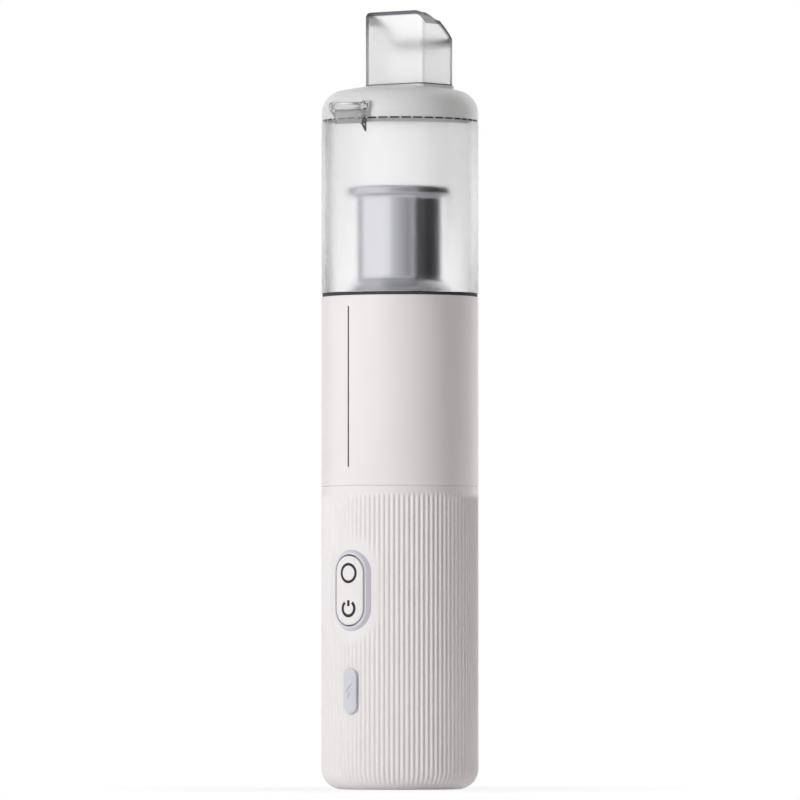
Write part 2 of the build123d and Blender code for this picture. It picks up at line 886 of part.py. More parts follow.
def make_filter_seal():
    return ring(filter_seal_bore + filter_seal_width, filter_seal_bore, intake_top, filter_low)


def make_filter_base():
    base = turned(
        (filter_bore, filter_low),
        (filter_base_radius, filter_low),
        (filter_base_radius, cone_low),
        (tube_radius + filter_cone_land, cone_top),
        (filter_bore, cone_top),
    )
    return base + ring(socket_radius, socket_radius - socket_wall, cone_top, cone_top + socket_height)


def make_filter_tube():
    tube = ring(tube_radius, tube_bore, cone_top, tube_top)
    slot_low = cone_top + tube_slot_margin
    slot = Box(2 * tube_wall + fit_gap, tube_slot_width, tube_height - 2 * tube_slot_margin, align=standing)
    tube -= spaced(Pos(tube_radius - tube_wall / 2, 0, slot_low) * slot, tube_slot_count)
    bead = tube_radius + tube_bead
    tube += ring(bead, tube_bore, cone_top, cone_top + 2 * tube_bead)
    return tube + ring(bead, tube_bore, tube_top - 2 * tube_bead, tube_top)


def make_filter_cap():
    cap = disc(filter_cap_radius, tube_top, filter_top)
    cap = fillet(cap.edges().filter_by(GeomType.CIRCLE).sort_by(Axis.Z)[-1], filter_cap_round)
    return cap + ring(socket_radius, socket_radius - socket_wall, tube_top - socket_height, tube_top)


def pleat_star(radius):
    """A zigzag outline with one point for each pleat."""
    corners = []
    for step in range(2 * pleat_count):
        reach = radius - pleat_depth * (step % 2)
        angle = step * pi / pleat_count
        corners.append((reach * cos(angle), reach * sin(angle)))
    return make_face(Polyline(*corners, close=True))


def make_pleated_element():
    paper = pleat_star(pleat_radius) - pleat_star(pleat_radius - pleat_paper)
    return Pos(0, 0, cone_top) * extrude(paper, amount=tube_top - cone_top)


def make_dust_cup():
    cup = ring(body_radius, cup_bore, cup_low, cup_top)
    rims = cup.edges().filter_by(GeomType.CIRCLE).filter_by(lambda rim: rim.radius > body_radius - seam_round)
    cup = fillet(rims, seam_round)
    flange_top = cup_low + cup_flange
    cup += ring(cup_bore + cup_wall / 2, cup_skirt_bore, cup_low, flange_top)
    cup += ring(cup_skirt_radius, cup_skirt_bore, cup_low - cup_skirt_drop, flange_top)
    leaf_low = cup_top - leaf_drop
    front = hinge_y - leaf_thickness / 2
    root = -sqrt((body_radius - cup_wall / 2) ** 2 - (leaf_width / 2) ** 2)
    cup += block(leaf_width, front, root, leaf_low, cup_top)
    cup += block(leaf_width, front, hinge_y + leaf_thickness / 2, leaf_low, hinge_z)
    cup += rod_x(knuckle_radius, leaf_width, hinge_y, hinge_z)
    middle = (leaf_width - rib_thickness) / 2
    cup += side_plate(((front, leaf_low), (root, leaf_low), (root, leaf_low - rib_drop)), rib_thickness, middle)
    return cup - rod_x(pin_radius + fit_gap, leaf_width, hinge_y, hinge_z)


def make_hinge_pin():
    return rod_x(pin_radius, pin_length, hinge_y, hinge_z)


def cap_form(inset):
    """The domed solid of the front cap, or of its inside when inset by the wall."""
    centre_radius = body_radius - cap_shoulder
    centre_height = cap_low + cap_straight
    bend = cap_shoulder - inset
    sweep = radians(cap_shoulder_sweep)
    foot = (centre_radius + bend, cap_low)
    start = (centre_radius + bend, centre_height)
    halfway = (centre_radius + bend * cos(sweep / 2), centre_height + bend * sin(sweep / 2))
    end = (centre_radius + bend * cos(sweep), centre_height + bend * sin(sweep))
    peak = (0, cap_peak - inset)
    dome = (end[0] / 2, peak[1] - (peak[1] - end[1]) / 4)
    outline = Curve() + [
        Line((0, cap_low), foot),
        Line(foot, start),
        ThreePointArc(start, halfway, end),
        ThreePointArc(end, dome, peak),
        Line(peak, (0, cap_low)),
    ]
    return revolve(Plane.XZ * make_face(outline), Axis.Z)


def nozzle_prism(inset, low, high):
    """An upright block with the nozzle's rounded outline, moved in by inset."""
    corner = max(nozzle_corner - inset, fit_gap)
    outline = RectangleRounded(nozzle_width - 2 * inset, nozzle_depth - 2 * inset, corner)
    return Pos(0, nozzle_offset, low) * extrude(outline, amount=high - low)


def make_front_cap():
    inside = cap_form(cap_wall)
    cap = cap_form(0) - inside
    hole_inset = nozzle_shoulder - socket_gap
    collar = nozzle_prism(hole_inset - collar_wall, collar_low, cap_peak)
    cap += collar & cap_form(cap_wall / 2)
    cap += nozzle_prism(-boss_land, collar_low, cap_peak)
    register = cup_bore - register_gap
    register_low = cup_top - register_depth
    bridge_low = cap_low + register_root / 2
    cap += turned(
        (register - register_wall, register_low),
        (register, register_low),
        (register, bridge_low),
        (body_radius - cap_wall / 2, bridge_low),
        (body_radius - cap_wall / 2, bridge_low + register_root),
        (register - register_wall, bridge_low + register_root),
    )
    thumb_low = cap_low + seam_round
    cap += block(thumb_width, body_radius - cap_wall / 2, body_radius + thumb_reach, thumb_low, thumb_low + thumb_height)
    cap += flap_lugs()
    cap -= nozzle_prism(hole_inset, collar_low, cap_peak)
    clear = knuckle_radius + free_gap
    pocket_width = leaf_width + 2 * ear_gap
    cap -= block(pocket_width, 2 * hinge_y, hinge_y + clear, cap_low, hinge_z + clear)
    cap += hinge_ears()
    return cap - rod_x(pin_radius + running_gap, pin_length, hinge_y, hinge_z)


def hinge_ears():
    """Two round ears with a web down to the foot of the cap wall."""
    ears = []
    for side in (-1, 1):
        middle = side * (leaf_width / 2 + ear_gap + ear_width / 2)
        far = leaf_width / 2 + ear_gap + ear_width
        root = -sqrt((body_radius - cap_wall / 2) ** 2 - far ** 2)
        web = (
            (hinge_y - ear_radius * 0.9, hinge_z - ear_radius * 0.4),
            (hinge_y + ear_radius / 2, cap_low + seam_round),
            (root, cap_low + seam_round),
            (root, hinge_z + ear_radius),
            (hinge_y, hinge_z + ear_radius),
        )
        ears.append(side_plate(web, ear_width, middle) + rod_x(ear_radius, ear_width, hinge_y, hinge_z, middle))
    return ears


def make_cap_seal():
    return ring(body_radius - cap_seal_inset, cup_bore + cap_seal_inset, cup_top, cap_low)


def collar_front():
    return nozzle_offset - nozzle_depth / 2 + nozzle_shoulder - socket_gap - collar_wall


def flap_axis_y():
    return collar_front() - flap_seat_gap - flap_knuckle_radius


def flap_axis_z():
    return collar_low - flap_seat_gap - flap_thickness / 2


def flap_pin_length():
    return flap_knuckle_width + 2 * (flap_lug_gap + flap_pin_seat)


def flap_lugs():
    """Two lugs in front of the inlet collar that hold the flap pin."""
    lugs = []
    back = collar_front() + collar_wall / 2
    for side in (-1, 1):
        middle = side * (flap_knuckle_width / 2 + flap_lug_gap + flap_lug_width / 2)
        front = flap_axis_y() - flap_knuckle_radius
        top = collar_low + 2 * flap_lug_width
        lug = rod_x(flap_knuckle_radius, flap_lug_width, flap_axis_y(), flap_axis_z(), middle)
        lug += block(flap_lug_width, front, front + 2 * flap_knuckle_radius, flap_axis_z(), top, middle)
        lug += block(flap_lug_width, front, back, collar_low, top, middle)
        lugs.append(lug)
    pin = rod_x(flap_pin_radius + fit_gap, flap_pin_length() + 2 * fit_gap, flap_axis_y(), flap_axis_z())
    return Part() + lugs - pin


def make_flap_pin():
    return rod_x(flap_pin_radius, flap_pin_length(), flap_axis_y(), flap_axis_z())


def make_inlet_flap():
    hole_inset = nozzle_shoulder - socket_gap
    low = collar_low - flap_seat_gap - flap_thickness
    high = collar_low - flap_seat_gap
    start = collar_front() + collar_wall / 2 + flap_lug_gap
    back = nozzle_offset + nozzle_depth / 2 - hole_inset + flap_overlap
    flap = block(nozzle_width - 2 * hole_inset + 2 * flap_overlap, start, back, low, high)
    flap += block(flap_knuckle_width, flap_axis_y(), start, low, high)
    flap += rod_x(flap_knuckle_radius, flap_knuckle_width, flap_axis_y(), flap_axis_z())
    return flap - rod_x(flap_pin_radius + running_gap, flap_knuckle_width, flap_axis_y(), flap_axis_z())


def make_nozzle():
    front = nozzle_offset - nozzle_depth / 2
    back = nozzle_offset + nozzle_depth / 2
    chord = sqrt(nozzle_depth ** 2 + mouth_drop ** 2)
    crest = (
        nozzle_offset + mouth_bulge * mouth_drop / chord,
        nozzle_top - mouth_drop / 2 + mouth_bulge * nozzle_depth / chord,
    )
    side_outline = Curve() + [
        Line((front, nozzle_low), (front, nozzle_top)),
        ThreePointArc((front, nozzle_top), crest, (back, nozzle_top - mouth_drop)),
        Line((back, nozzle_top - mouth_drop), (back, nozzle_low)),
        Line((back, nozzle_low), (front, nozzle_low)),
    ]
    side_view = extrude(Plane.YZ * make_face(side_outline), amount=nozzle_width, both=True)
    face = Rectangle(nozzle_width, nozzle_height)
    face = fillet(face.vertices().sort_by(Axis.Y)[-2:], mouth_corner)
    face = Plane.XZ * Pos(0, nozzle_low + nozzle_height / 2) * face
    front_view = extrude(face, amount=2 * nozzle_depth, both=True)
    nozzle = nozzle_prism(0, nozzle_low, nozzle_top) & side_view & front_view
    plug_low = cap_peak - nozzle_plug
    nozzle += nozzle_prism(nozzle_shoulder, plug_low, nozzle_low)
    return nozzle - nozzle_prism(nozzle_wall, plug_low, nozzle_top)


def make_nozzle_seal():
    outer = nozzle_prism(fit_gap, cap_peak, nozzle_low)
    return outer - nozzle_prism(nozzle_shoulder - fit_gap, cap_peak, nozzle_low)


pieces = {
    "base_cap": make_base_cap(),
    "base_screws": make_base_screws(),
    "grip_shell": make_grip_shell(),
    "battery_tray": make_battery_tray(),
    "cell_rear": make_cell(cell_angles["cell_rear"], True),
    "cell_left": make_cell(cell_angles["cell_left"], False),
    "cell_right": make_cell(cell_angles["cell_right"], True),
    "cell_strap_top": make_cell_strap(cell_angles["cell_left"], cell_angles["cell_right"], cell_top),
    "cell_strap_bottom": make_cell_strap(cell_angles["cell_rear"], cell_angles["cell_left"], tray_top),
    "battery_lid": make_battery_lid(),
    "lid_screws": make_lid_screws(),
    "main_board": make_main_board(),
    "board_screws": make_board_screws(),
    "usb_port": make_usb_port(),
    "usb_tongue": make_usb_tongue(),
    "mode_switch": make_switch(key_height + key_press_offset),
    "power_switch": make_switch(key_height - key_press_offset),
    "key_bezel": make_key_bezel(),
    "key_pivot_pin": rod_x(pivot_radius, pivot_pin_length(), pivot_y(), key_height),
    "rocker_key": make_rocker_key(),
    "port_cover": make_port_cover(),
    "sleeve": make_sleeve(),
    "motor_carrier": make_motor_carrier(),
    "carrier_screws": make_carrier_screws(),
    "driver_board": make_driver_board(),
    "driver_screws": make_driver_screws(),
    "motor_mount": make_motor_mount(),
    "motor_can": make_motor_can(),
    "motor_end_cap": make_motor_end_cap(),
    "bearing_lower": make_bearing(lower_bearing_low),
    "bearing_upper": make_bearing(upper_bearing_low),
    "stator_core": make_stator_core(),
    "stator_coils": make_stator_coils(),
    "motor_shaft": make_motor_shaft(),
    "rotor_magnet": make_rotor_magnet(),
    "impeller": make_impeller(),
    "impeller_nut": make_impeller_nut(),
    "diffuser": make_diffuser(),
    "fan_shroud": make_fan_shroud(),
    "shroud_gasket": make_shroud_gasket(),
    "intake_plate": make_intake_plate(),
    "intake_screws": make_intake_screws(),
    "cup_seal": make_cup_seal(),
    "filter_seal": make_filter_seal(),
    "filter_base": make_filter_base(),
    "filter_tube": make_filter_tube(),
    "filter_cap": make_filter_cap(),
    "pleated_element": make_pleated_element(),
    "dust_cup": make_dust_cup(),
    "hinge_pin": make_hinge_pin(),
    "front_cap": make_front_cap(),
    "cap_seal": make_cap_seal(),
    "flap_pin": make_flap_pin(),
    "inlet_flap": make_inlet_flap(),
    "nozzle": make_nozzle(),
    "nozzle_seal": make_nozzle_seal(),
}

os.makedirs("parts", exist_ok=True)
for name, shape in pieces.items():
    export_step(shape, f"parts/{name}.step")
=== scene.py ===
import math

import bmesh
import bpy
from mathutils import Matrix, Vector


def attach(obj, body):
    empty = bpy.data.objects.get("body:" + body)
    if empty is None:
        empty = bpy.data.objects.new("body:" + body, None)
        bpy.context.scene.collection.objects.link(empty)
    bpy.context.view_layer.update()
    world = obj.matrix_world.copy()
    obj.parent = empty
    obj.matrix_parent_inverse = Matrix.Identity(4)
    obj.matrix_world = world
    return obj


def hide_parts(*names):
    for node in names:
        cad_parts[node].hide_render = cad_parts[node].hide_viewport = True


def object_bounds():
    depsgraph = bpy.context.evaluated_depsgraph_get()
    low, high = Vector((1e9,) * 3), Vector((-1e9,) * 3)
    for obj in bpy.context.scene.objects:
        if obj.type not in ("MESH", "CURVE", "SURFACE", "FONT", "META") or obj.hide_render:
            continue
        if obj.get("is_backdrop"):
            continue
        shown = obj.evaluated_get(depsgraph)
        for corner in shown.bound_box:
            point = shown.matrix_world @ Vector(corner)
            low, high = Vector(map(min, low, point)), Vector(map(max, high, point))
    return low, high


# Handheld stick vacuum cleaner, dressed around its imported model. Sizes are in millimetres and are
# turned into metres where a mesh is made. Z runs up to the nozzle, and the key faces -Y.
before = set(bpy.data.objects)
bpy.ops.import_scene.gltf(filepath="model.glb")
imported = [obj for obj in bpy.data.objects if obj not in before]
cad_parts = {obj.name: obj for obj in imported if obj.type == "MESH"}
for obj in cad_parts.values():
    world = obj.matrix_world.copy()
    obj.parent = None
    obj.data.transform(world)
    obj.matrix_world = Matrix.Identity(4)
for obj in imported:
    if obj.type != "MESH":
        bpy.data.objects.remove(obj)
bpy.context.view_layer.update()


# Grip shell: the lower half of the casing, one tube of warm white ABS with upright moulded ribs,
# a plain band under the seam and a plain pad round the key. Three lugs inside carry the motor frame.
MM = 0.001
body_radius = 30.0
case_bore = 27.7
grip_height = 115.5
base_round = 7.8
base_opening = 21.7
base_plate = 3.0
ledge_bore = 19.2
ledge_face = 5.0
seam_round = 0.4
rib_count = 98
columns_per_rib = 10
rib_depth = 0.55
rib_crest = 1.4
rib_top = 112.9
rib_top_fade = 2.8
rib_base_fade = 6.5
row_low = 54.0
row_pitch = 1.5
row_count = 30
fade_rows = 5
bore_margin = 0.1
pad_width = 21.0
pad_height = 36.0
pad_fade = 4.0
key_height = 75.65
key_opening = (16.1, 29.5)
port_height = 37.5
port_opening = (5.5, 13.5)
lug_bore = 20.95
lug_reach = 28.85
lug_width = 9.0
lug_low = 95.5
lug_high = 103.5
lug_hole_circle = 23.7
lug_hole_radius = 1.05
cover_axis = (-30.525, 29.275)
groove_radius = 0.85
groove_half_width = 3.45
past = 1.0
same_spot = 0.0005
join_slack = 0.004
join_sliver = 0.002


def linear(code):
    """An sRGB hex colour as linear RGBA."""
    channels = [int(code[start:start + 2], 16) / 255 for start in (1, 3, 5)]
    return [c / 12.92 if c <= 0.04045 else ((c + 0.055) / 1.055) ** 2.4 for c in channels] + [1.0]


def add(tree, kind, inputs=None, **settings):
    """Adds one node to a material. Inputs are values, or sockets to link from."""
    node = tree.nodes.new("ShaderNode" + kind)
    for name, value in settings.items():
        setattr(node, name, value)
    for name, value in (inputs or {}).items():
        if isinstance(value, bpy.types.NodeSocket):
            tree.links.new(value, node.inputs[name])
        else:
            node.inputs[name].default_value = value
    return node


def new_finish(name):
    """A material and its empty node tree."""
    finish = bpy.data.materials.new(name)
    finish.use_nodes = True
    finish.node_tree.nodes.clear()
    return finish, finish.node_tree


def grained_skin(tree, colour, grain, gloss, relief, more):
    """Ends a material with a skin whose gloss and relief follow a grain. Gloss is (roughness, spread),
    relief is (strength, depth), and more holds the skin's other inputs."""
    rough, spread = gloss
    strength, depth = relief
    shine = {"Value": grain.outputs["Fac"], "To Min": rough, "To Max": rough + spread}
    bump = {"Height": grain.outputs["Fac"], "Strength": strength, "Distance": depth * MM}
    skin = add(tree, "BsdfPrincipled", {
        "Base Color": colour.outputs["Result"],
        "Roughness": add(tree, "MapRange", shine).outputs["Result"],
        "Normal": add(tree, "Bump", bump).outputs["Normal"],
        **more,
    })
    add(tree, "OutputMaterial", {"Surface": skin.outputs["BSDF"]})


def moulded(name, pale, deep, grain, rough, gloss_spread=0.08, relief=0.006, cloud=24.0, ior=1.5):
    """Moulded plastic or rubber: a faint cloudy tone, a fine grain in the gloss and a fine relief."""
    finish, tree = new_finish(name)
    place = add(tree, "TexCoord").outputs["Object"]
    tone = add(tree, "TexNoise", {"Vector": place, "Scale": 1 / (cloud * MM), "Detail": 3.0})
    fine = add(tree, "TexNoise", {"Vector": place, "Scale": 1 / (grain * MM), "Detail": 2.0})
    tones = {"Factor": tone.outputs["Fac"], "A": linear(pale), "B": linear(deep)}
    colour = add(tree, "Mix", tones, data_type="RGBA")
    grained_skin(tree, colour, fine, (rough, gloss_spread), (0.5, relief), {"IOR": ior})
    return finish


def bevel(bm, geometry, size, segments, affect, clamp=False):
    """Rounds verts or edges."""
    return bmesh.ops.bevel(bm, geom=geometry, offset=size * MM, offset_type="OFFSET", segments=segments,
                           profile=0.5, affect=affect, clamp_overlap=clamp, material=-1)


def outline_loop(bm, corners, rounds):
    """A closed wire of (radius, height) corners in the XZ plane, with some of its corners rounded.
    Rounds maps a corner's place in the list to (radius, segments)."""
    verts = [bm.verts.new((radius * MM, 0, height * MM)) for radius, height in corners]
    for step in range(len(verts)):
        if corners[step - 1][0] or corners[step][0]:
            bm.edges.new((verts[step - 1], verts[step]))
    for step, (size, segments) in rounds.items():
        bevel(bm, [verts[step]], size, segments, "VERTICES")


def everything(bm):
    """All the verts, edges and faces."""
    return bm.verts[:] + bm.edges[:] + bm.faces[:]


def spin(bm, angle, steps, merge=False, copies=False):
    """Sweeps everything about Z, or sets copies of it round Z."""
    bmesh.ops.spin(bm, geom=everything(bm), cent=(0, 0, 0), axis=(0, 0, 1), dvec=(0, 0, 0), angle=angle,
                   steps=steps, use_merge=merge, use_duplicate=copies)


def turn_all(bm, angle, axis):
    """Turns everything about an axis through the origin."""
    bmesh.ops.rotate(bm, verts=bm.verts, cent=(0, 0, 0), matrix=Matrix.Rotation(angle, 3, axis))


def lathe(corners, rounds, steps=192):
    """Spins a closed outline about Z into a ring-shaped or round solid."""
    bm = bmesh.new()
    outline_loop(bm, corners, rounds)
    spin(bm, math.tau, steps, merge=True)
    return bm


def link_object(name, data):
    """A new object in the scene."""
    thing = bpy.data.objects.new(name, data)
    bpy.context.scene.collection.objects.link(thing)
    return thing


def new_piece(bm, name):
    """A mesh object at the origin, with its doubles merged and its faces pointing outwards."""
    bmesh.ops.remove_doubles(bm, verts=bm.verts, dist=same_spot * MM)
    bmesh.ops.dissolve_degenerate(bm, edges=bm.edges, dist=same_spot * MM)
    bmesh.ops.recalc_face_normals(bm, faces=bm.faces)
    mesh = bpy.data.meshes.new(name)
    bm.to_mesh(mesh)
    bm.free()
    return link_object(name, mesh)


def combine(piece, operation, *tools):
    """Cuts or joins a piece by other shapes, which are used up, and clears the slivers this leaves."""
    for tool in tools:
        step = piece.modifiers.new(operation.lower(), "BOOLEAN")
        step.operation = operation
        step.solver = "EXACT"
        step.object = tool
    whole = piece.evaluated_get(bpy.context.evaluated_depsgraph_get())
    mesh = bpy.data.meshes.new_from_object(whole)
    bm = bmesh.new()
    bm.from_mesh(mesh)
    bmesh.ops.remove_doubles(bm, verts=bm.verts, dist=join_slack * MM)
    bmesh.ops.dissolve_degenerate(bm, edges=bm.edges, dist=join_sliver * MM)
    bm.to_mesh(mesh)
    bm.free()
    piece.modifiers.clear()
    piece.data = mesh
    for tool in tools:
        bpy.data.objects.remove(tool)


def finish_piece(piece, finish, sharp=35.0):
    """Gives a piece its material and smooth shading that breaks at its sharp edges."""
    mesh = piece.data
    mesh.materials.clear()
    mesh.materials.append(finish)
    mesh.polygons.foreach_set("use_smooth", [True] * len(mesh.polygons))
    mesh.polygons.foreach_set("material_index", [0] * len(mesh.polygons))
    mesh.set_sharp_from_angle(angle=math.radians(sharp))
    mesh.update()


def pill_loop(bm, width, length, depth, height, segments=64):
    """A wire with an upright pill outline at y = depth, centred at a height."""
    turn = Matrix.Rotation(math.pi / 2, 4, "X") @ Matrix.Rotation(math.pi / segments, 4, "Z")
    ring = bmesh.ops.create_circle(bm, cap_ends=False, segments=segments, radius=width / 2 * MM,
                                   matrix=turn)["verts"]
    for vert in ring:
        vert.co.z += math.copysign((length - width) / 2, vert.co.z) * MM + height * MM
        vert.co.y = depth * MM
    return ring


def loop_edges(ring):
    """The wire edges between the verts of one loop."""
    inside = set(ring)
    return [edge for edge in {e for vert in ring for e in vert.link_edges} if set(edge.verts) <= inside]


def skin_loops(bm, loops, closed=False):
    """Walls between neighbouring loops, and end faces unless the last loop meets the first."""
    edges = [loop_edges(ring) for ring in loops]
    pairs = list(zip(edges, edges[1:]))
    if closed:
        pairs.append((edges[-1], edges[0]))
    for one, two in pairs:
        bmesh.ops.bridge_loops(bm, edges=one + two)
    if not closed:
        for ends in (edges[0], edges[-1]):
            bmesh.ops.contextual_create(bm, geom=ends)


def pill_block(name, size, front, back, height):
    """An upright pill-shaped block between two depths."""
    bm = bmesh.new()
    skin_loops(bm, [pill_loop(bm, *size, front, height), pill_loop(bm, *size, back, height)])
    return new_piece(bm, name)


def round_rod(name, radius, start, end, segments=48):
    """A round rod between two points."""
    bm = bmesh.new()
    start, end = Vector(start) * MM, Vector(end) * MM
    facing = (end - start).to_track_quat("Z", "X").to_matrix().to_4x4()
    bmesh.ops.create_cone(bm, cap_ends=True, segments=segments, radius1=radius * MM, radius2=radius * MM,
                          depth=(end - start).length, matrix=Matrix.Translation((start + end) / 2) @ facing)
    return new_piece(bm, name)


def rod_x(name, radius, left, right, axis, segments=48):
    """A round rod along X, with its axis at a (y, z) spot."""
    return round_rod(name, radius, (left, *axis), (right, *axis), segments)


def rod_z(name, radius, spot, low, high, segments=24):
    """An upright round rod at an (x, y) spot."""
    return round_rod(name, radius, (*spot, low), (*spot, high), segments)


def box_block(name, low, high, turn=0.0):
    """A box between two corners, turned about Z."""
    bm = bmesh.new()
    low, high = Vector(low) * MM, Vector(high) * MM
    size = Matrix.Diagonal((*(high - low), 1.0))
    place = Matrix.Rotation(turn, 4, "Z") @ Matrix.Translation((low + high) / 2) @ size
    bmesh.ops.create_cube(bm, size=1.0, matrix=place)
    return new_piece(bm, name)


def ease(value):
    """A smooth step from 0 to 1."""
    value = min(max(value, 0.0), 1.0)
    return value * value * (3 - 2 * value)


def rib_share(co):
    """How deep the groove is at a point of the grip's outside, from 0 on a crest to 1 in a groove."""
    around = math.atan2(co.x, -co.y)
    height = co.z / MM
    groove = (0.5 - 0.5 * math.cos(rib_count * around)) ** rib_crest
    share = ease((rib_top - height) / rib_top_fade) * ease(height / rib_base_fade)
    if co.y < 0:
        reach = max(abs(height - key_height) - (pad_height - pad_width) / 2, 0.0)
        share *= ease((math.hypot(co.x / MM, reach) - pad_width / 2) / pad_fade)
    return groove * share


row_heights = [row_low + row_pitch * step for step in range(row_count)]
row_heights += [rib_top - rib_top_fade * (1 - step / fade_rows) for step in range(fade_rows + 1)]
outside = [(base_opening, 0), (body_radius, 0)] + [(body_radius, height) for height in row_heights]
inside = [(case_bore, grip_height), (case_bore, ledge_face), (ledge_bore, ledge_face),
          (ledge_bore, base_plate), (base_opening, base_plate)]
corners = outside + [(body_radius, grip_height)] + inside
rim = len(outside)
inner_round = base_round - (body_radius - case_bore)
bm = bmesh.new()
outline_loop(bm, corners, {1: (base_round, 10), rim: (seam_round, 3), rim + 2: (inner_round, 6)})
spin(bm, math.tau / rib_count, columns_per_rib)
spin(bm, math.tau, rib_count, copies=True)
turn_all(bm, -math.pi / 2, "Z")
for vert in bm.verts:
    across = math.hypot(vert.co.x, vert.co.y)
    in_bore = across < (case_bore + bore_margin) * MM and vert.co.z > ledge_face * MM
    if across > (body_radius - base_round) * MM and not in_bore:
        vert.co.xy *= 1 - rib_depth * MM * rib_share(vert.co) / across
grip = new_piece(bm, "ribbed_grip")
lugs = []
lug_holes = []
for step in range(3):
    turn = math.radians(90 + 120 * step)
    low, high = (lug_bore, -lug_width / 2, lug_low), (lug_reach, lug_width / 2, lug_high)
    lugs.append(box_block("lug", low, high, turn))
    spot = Matrix.Rotation(turn, 3, "Z") @ Vector((lug_hole_circle, 0, 0))
    lug_holes.append(rod_z("lug_hole", lug_hole_radius, spot.xy, lug_low - past, lug_high + past))
combine(grip, "UNION", *lugs)
hinge_groove = rod_x("groove", groove_radius, -groove_half_width, groove_half_width, cover_axis, 32)
key_hole = pill_block("key_hole", key_opening, -2 * body_radius, -body_radius / 2, key_height)
port_hole = pill_block("port_hole", port_opening, -2 * body_radius, -body_radius / 2, port_height)
combine(grip, "DIFFERENCE", hinge_groove, key_hole, port_hole, *lug_holes)

# ABS with a fine spark-eroded skin: matt-satin, warm white, with a soft sheen. The grain is drawn
# at 0.7 mm, coarser than the real 0.1 mm, so that it shows at all.
warm_white = moulded("warm_white_abs", "#EEEAEA", "#E8E3E3", grain=0.7, rough=0.4, relief=0.004)
finish_piece(grip, warm_white, sharp=55.0)
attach(grip, "body")
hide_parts("grip_shell")


# Base plate: a round ABS plate pressed into the foot of the grip, with two rings of exhaust slots.
# Three countersunk screws hold it to the battery tray.
plate_radius = 21.65
plate_height = 3.0
plate_edge = 0.4
slot_width = 1.5
slot_rings = ((4.99, 9.98, 12, False), (12.15, 18.45, 24, True))
screw_circle = 14.0
screw_angles = (30, 150, 270)
screw_hole_radius = 1.05
screw_seat_radius = 1.95
screw_seat_depth = 1.45
screw_clear = 3.8


def ring_section(inner, outer, low, high):
    """The corners of a plain ring's section, from its inner foot round to its inner head."""
    return [(inner, low), (outer, low), (outer, high), (inner, high)]


def flat_slot(bm, start, end, width, angle):
    """A round-ended slot that points away from the axis, as tall as the plate and more."""
    middle = (start + end) / 2
    loops = [pill_loop(bm, width, end - start, depth, middle, 20) for depth in (-past, plate_height + past)]
    skin_loops(bm, loops)
    lying = Matrix.Rotation(math.radians(angle + 90), 3, "Z") @ Matrix.Rotation(math.pi / 2, 3, "X")
    bmesh.ops.rotate(bm, verts=loops[0] + loops[1], cent=(0, 0, 0), matrix=lying)


bm = lathe(ring_section(0, plate_radius, 0, plate_height), {1: (plate_edge, 3)}, 128)
base = new_piece(bm, "base_plate")
bm = bmesh.new()
for start, end, count, shuns_screws in slot_rings:
    for step in range(count):
        angle = step * 360 / count
        away = min(abs((angle - screw + 180) % 360 - 180) for screw in screw_angles)
        if not shuns_screws or screw_circle * math.sin(math.radians(min(away, 90))) > screw_clear:
            flat_slot(bm, start, end, slot_width, angle)
cutters = [new_piece(bm, "slots")]
for angle in screw_angles:
    turn = math.radians(angle)
    spot = (screw_circle * math.cos(turn), screw_circle * math.sin(turn))
    cutters.append(rod_z("hole", screw_hole_radius, spot, -past, plate_height + past))
    cutters.append(rod_z("seat", screw_seat_radius, spot, -past, screw_seat_depth, 32))
combine(base, "DIFFERENCE", *cutters)
finish_piece(base, warm_white)
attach(base, "body")
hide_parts("base_cap")


# Key bezel: a pill-shaped collar of pale ABS round the key. Its face follows the round of the casing,
# its sides slope down to the casing, and a thin sleeve behind it snaps into the opening.
bezel_top = (15.21, 29.16)
bezel_foot = (17.52, 30.95)
bezel_sleeve_size = (16.0, 29.4)
bezel_opening = (14.0, 27.4)
bezel_face_radius = 31.4
bezel_back = -26.3
bezel_seat_radius = 30.05
bezel_outer_edge = 0.3
bezel_inner_edge = 0.12


def sit_on_casing(ring, radius):
    """Moves a loop back along Y on to an upright cylinder about the axis."""
    for vert in ring:
        vert.co.y = -math.sqrt((radius * MM) ** 2 - vert.co.x ** 2)


def round_edges(bm, ring, size, segments=4):
    """Rounds the edges of one loop."""
    bevel(bm, loop_edges(ring), size, segments, "EDGES")


bm = bmesh.new()
sizes = (bezel_opening, bezel_opening, bezel_top, bezel_foot, bezel_sleeve_size, bezel_sleeve_size)
loops = [pill_loop(bm, *size, bezel_back, key_height) for size in sizes]
for ring in loops[1:3]:
    sit_on_casing(ring, bezel_face_radius)
for ring in loops[3:5]:
    sit_on_casing(ring, bezel_seat_radius)
skin_loops(bm, loops, closed=True)
round_edges(bm, loops[2], bezel_outer_edge)
round_edges(bm, loops[1], bezel_inner_edge, 2)
bezel = new_piece(bm, "lavender_bezel")
# Satin ABS in a pale lavender, a little cooler and glossier than the casing.
lavender = moulded("lavender_abs", "#D9D7E0", "#D2D0DA", grain=0.6, rough=0.34, relief=0.003)
finish_piece(bezel, lavender)
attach(bezel, "body")
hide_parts("key_bezel")


# Rocker key: one pill of warm white ABS that rocks on a steel pin, with a post at each end that
# presses a switch on the board. Its face follows the casing, and two signs are printed there in black.
key_size = (12.9, 26.3)
key_face = -31.65
key_back = -29.75
key_edge = 0.35
key_strip = 0.6
face_margin = 0.1
root_sink = 0.4
bore_end = 8.0
lug_half_width = 3.0
lug_radius = 1.6
pivot_y = -27.9
pivot_hole_radius = 0.66
post_radius = 1.5
post_end = -23.05
post_offset = 6.7
power_offset = 6.85
sign_sink = 0.1
sign_rise = 0.012
ring_radius = 3.35
ring_stroke = 1.05
ring_offset = 6.6
power_radius = 2.8
power_stroke = 1.15
power_gap = math.radians(74)
power_bar = (0.9, 3.15)


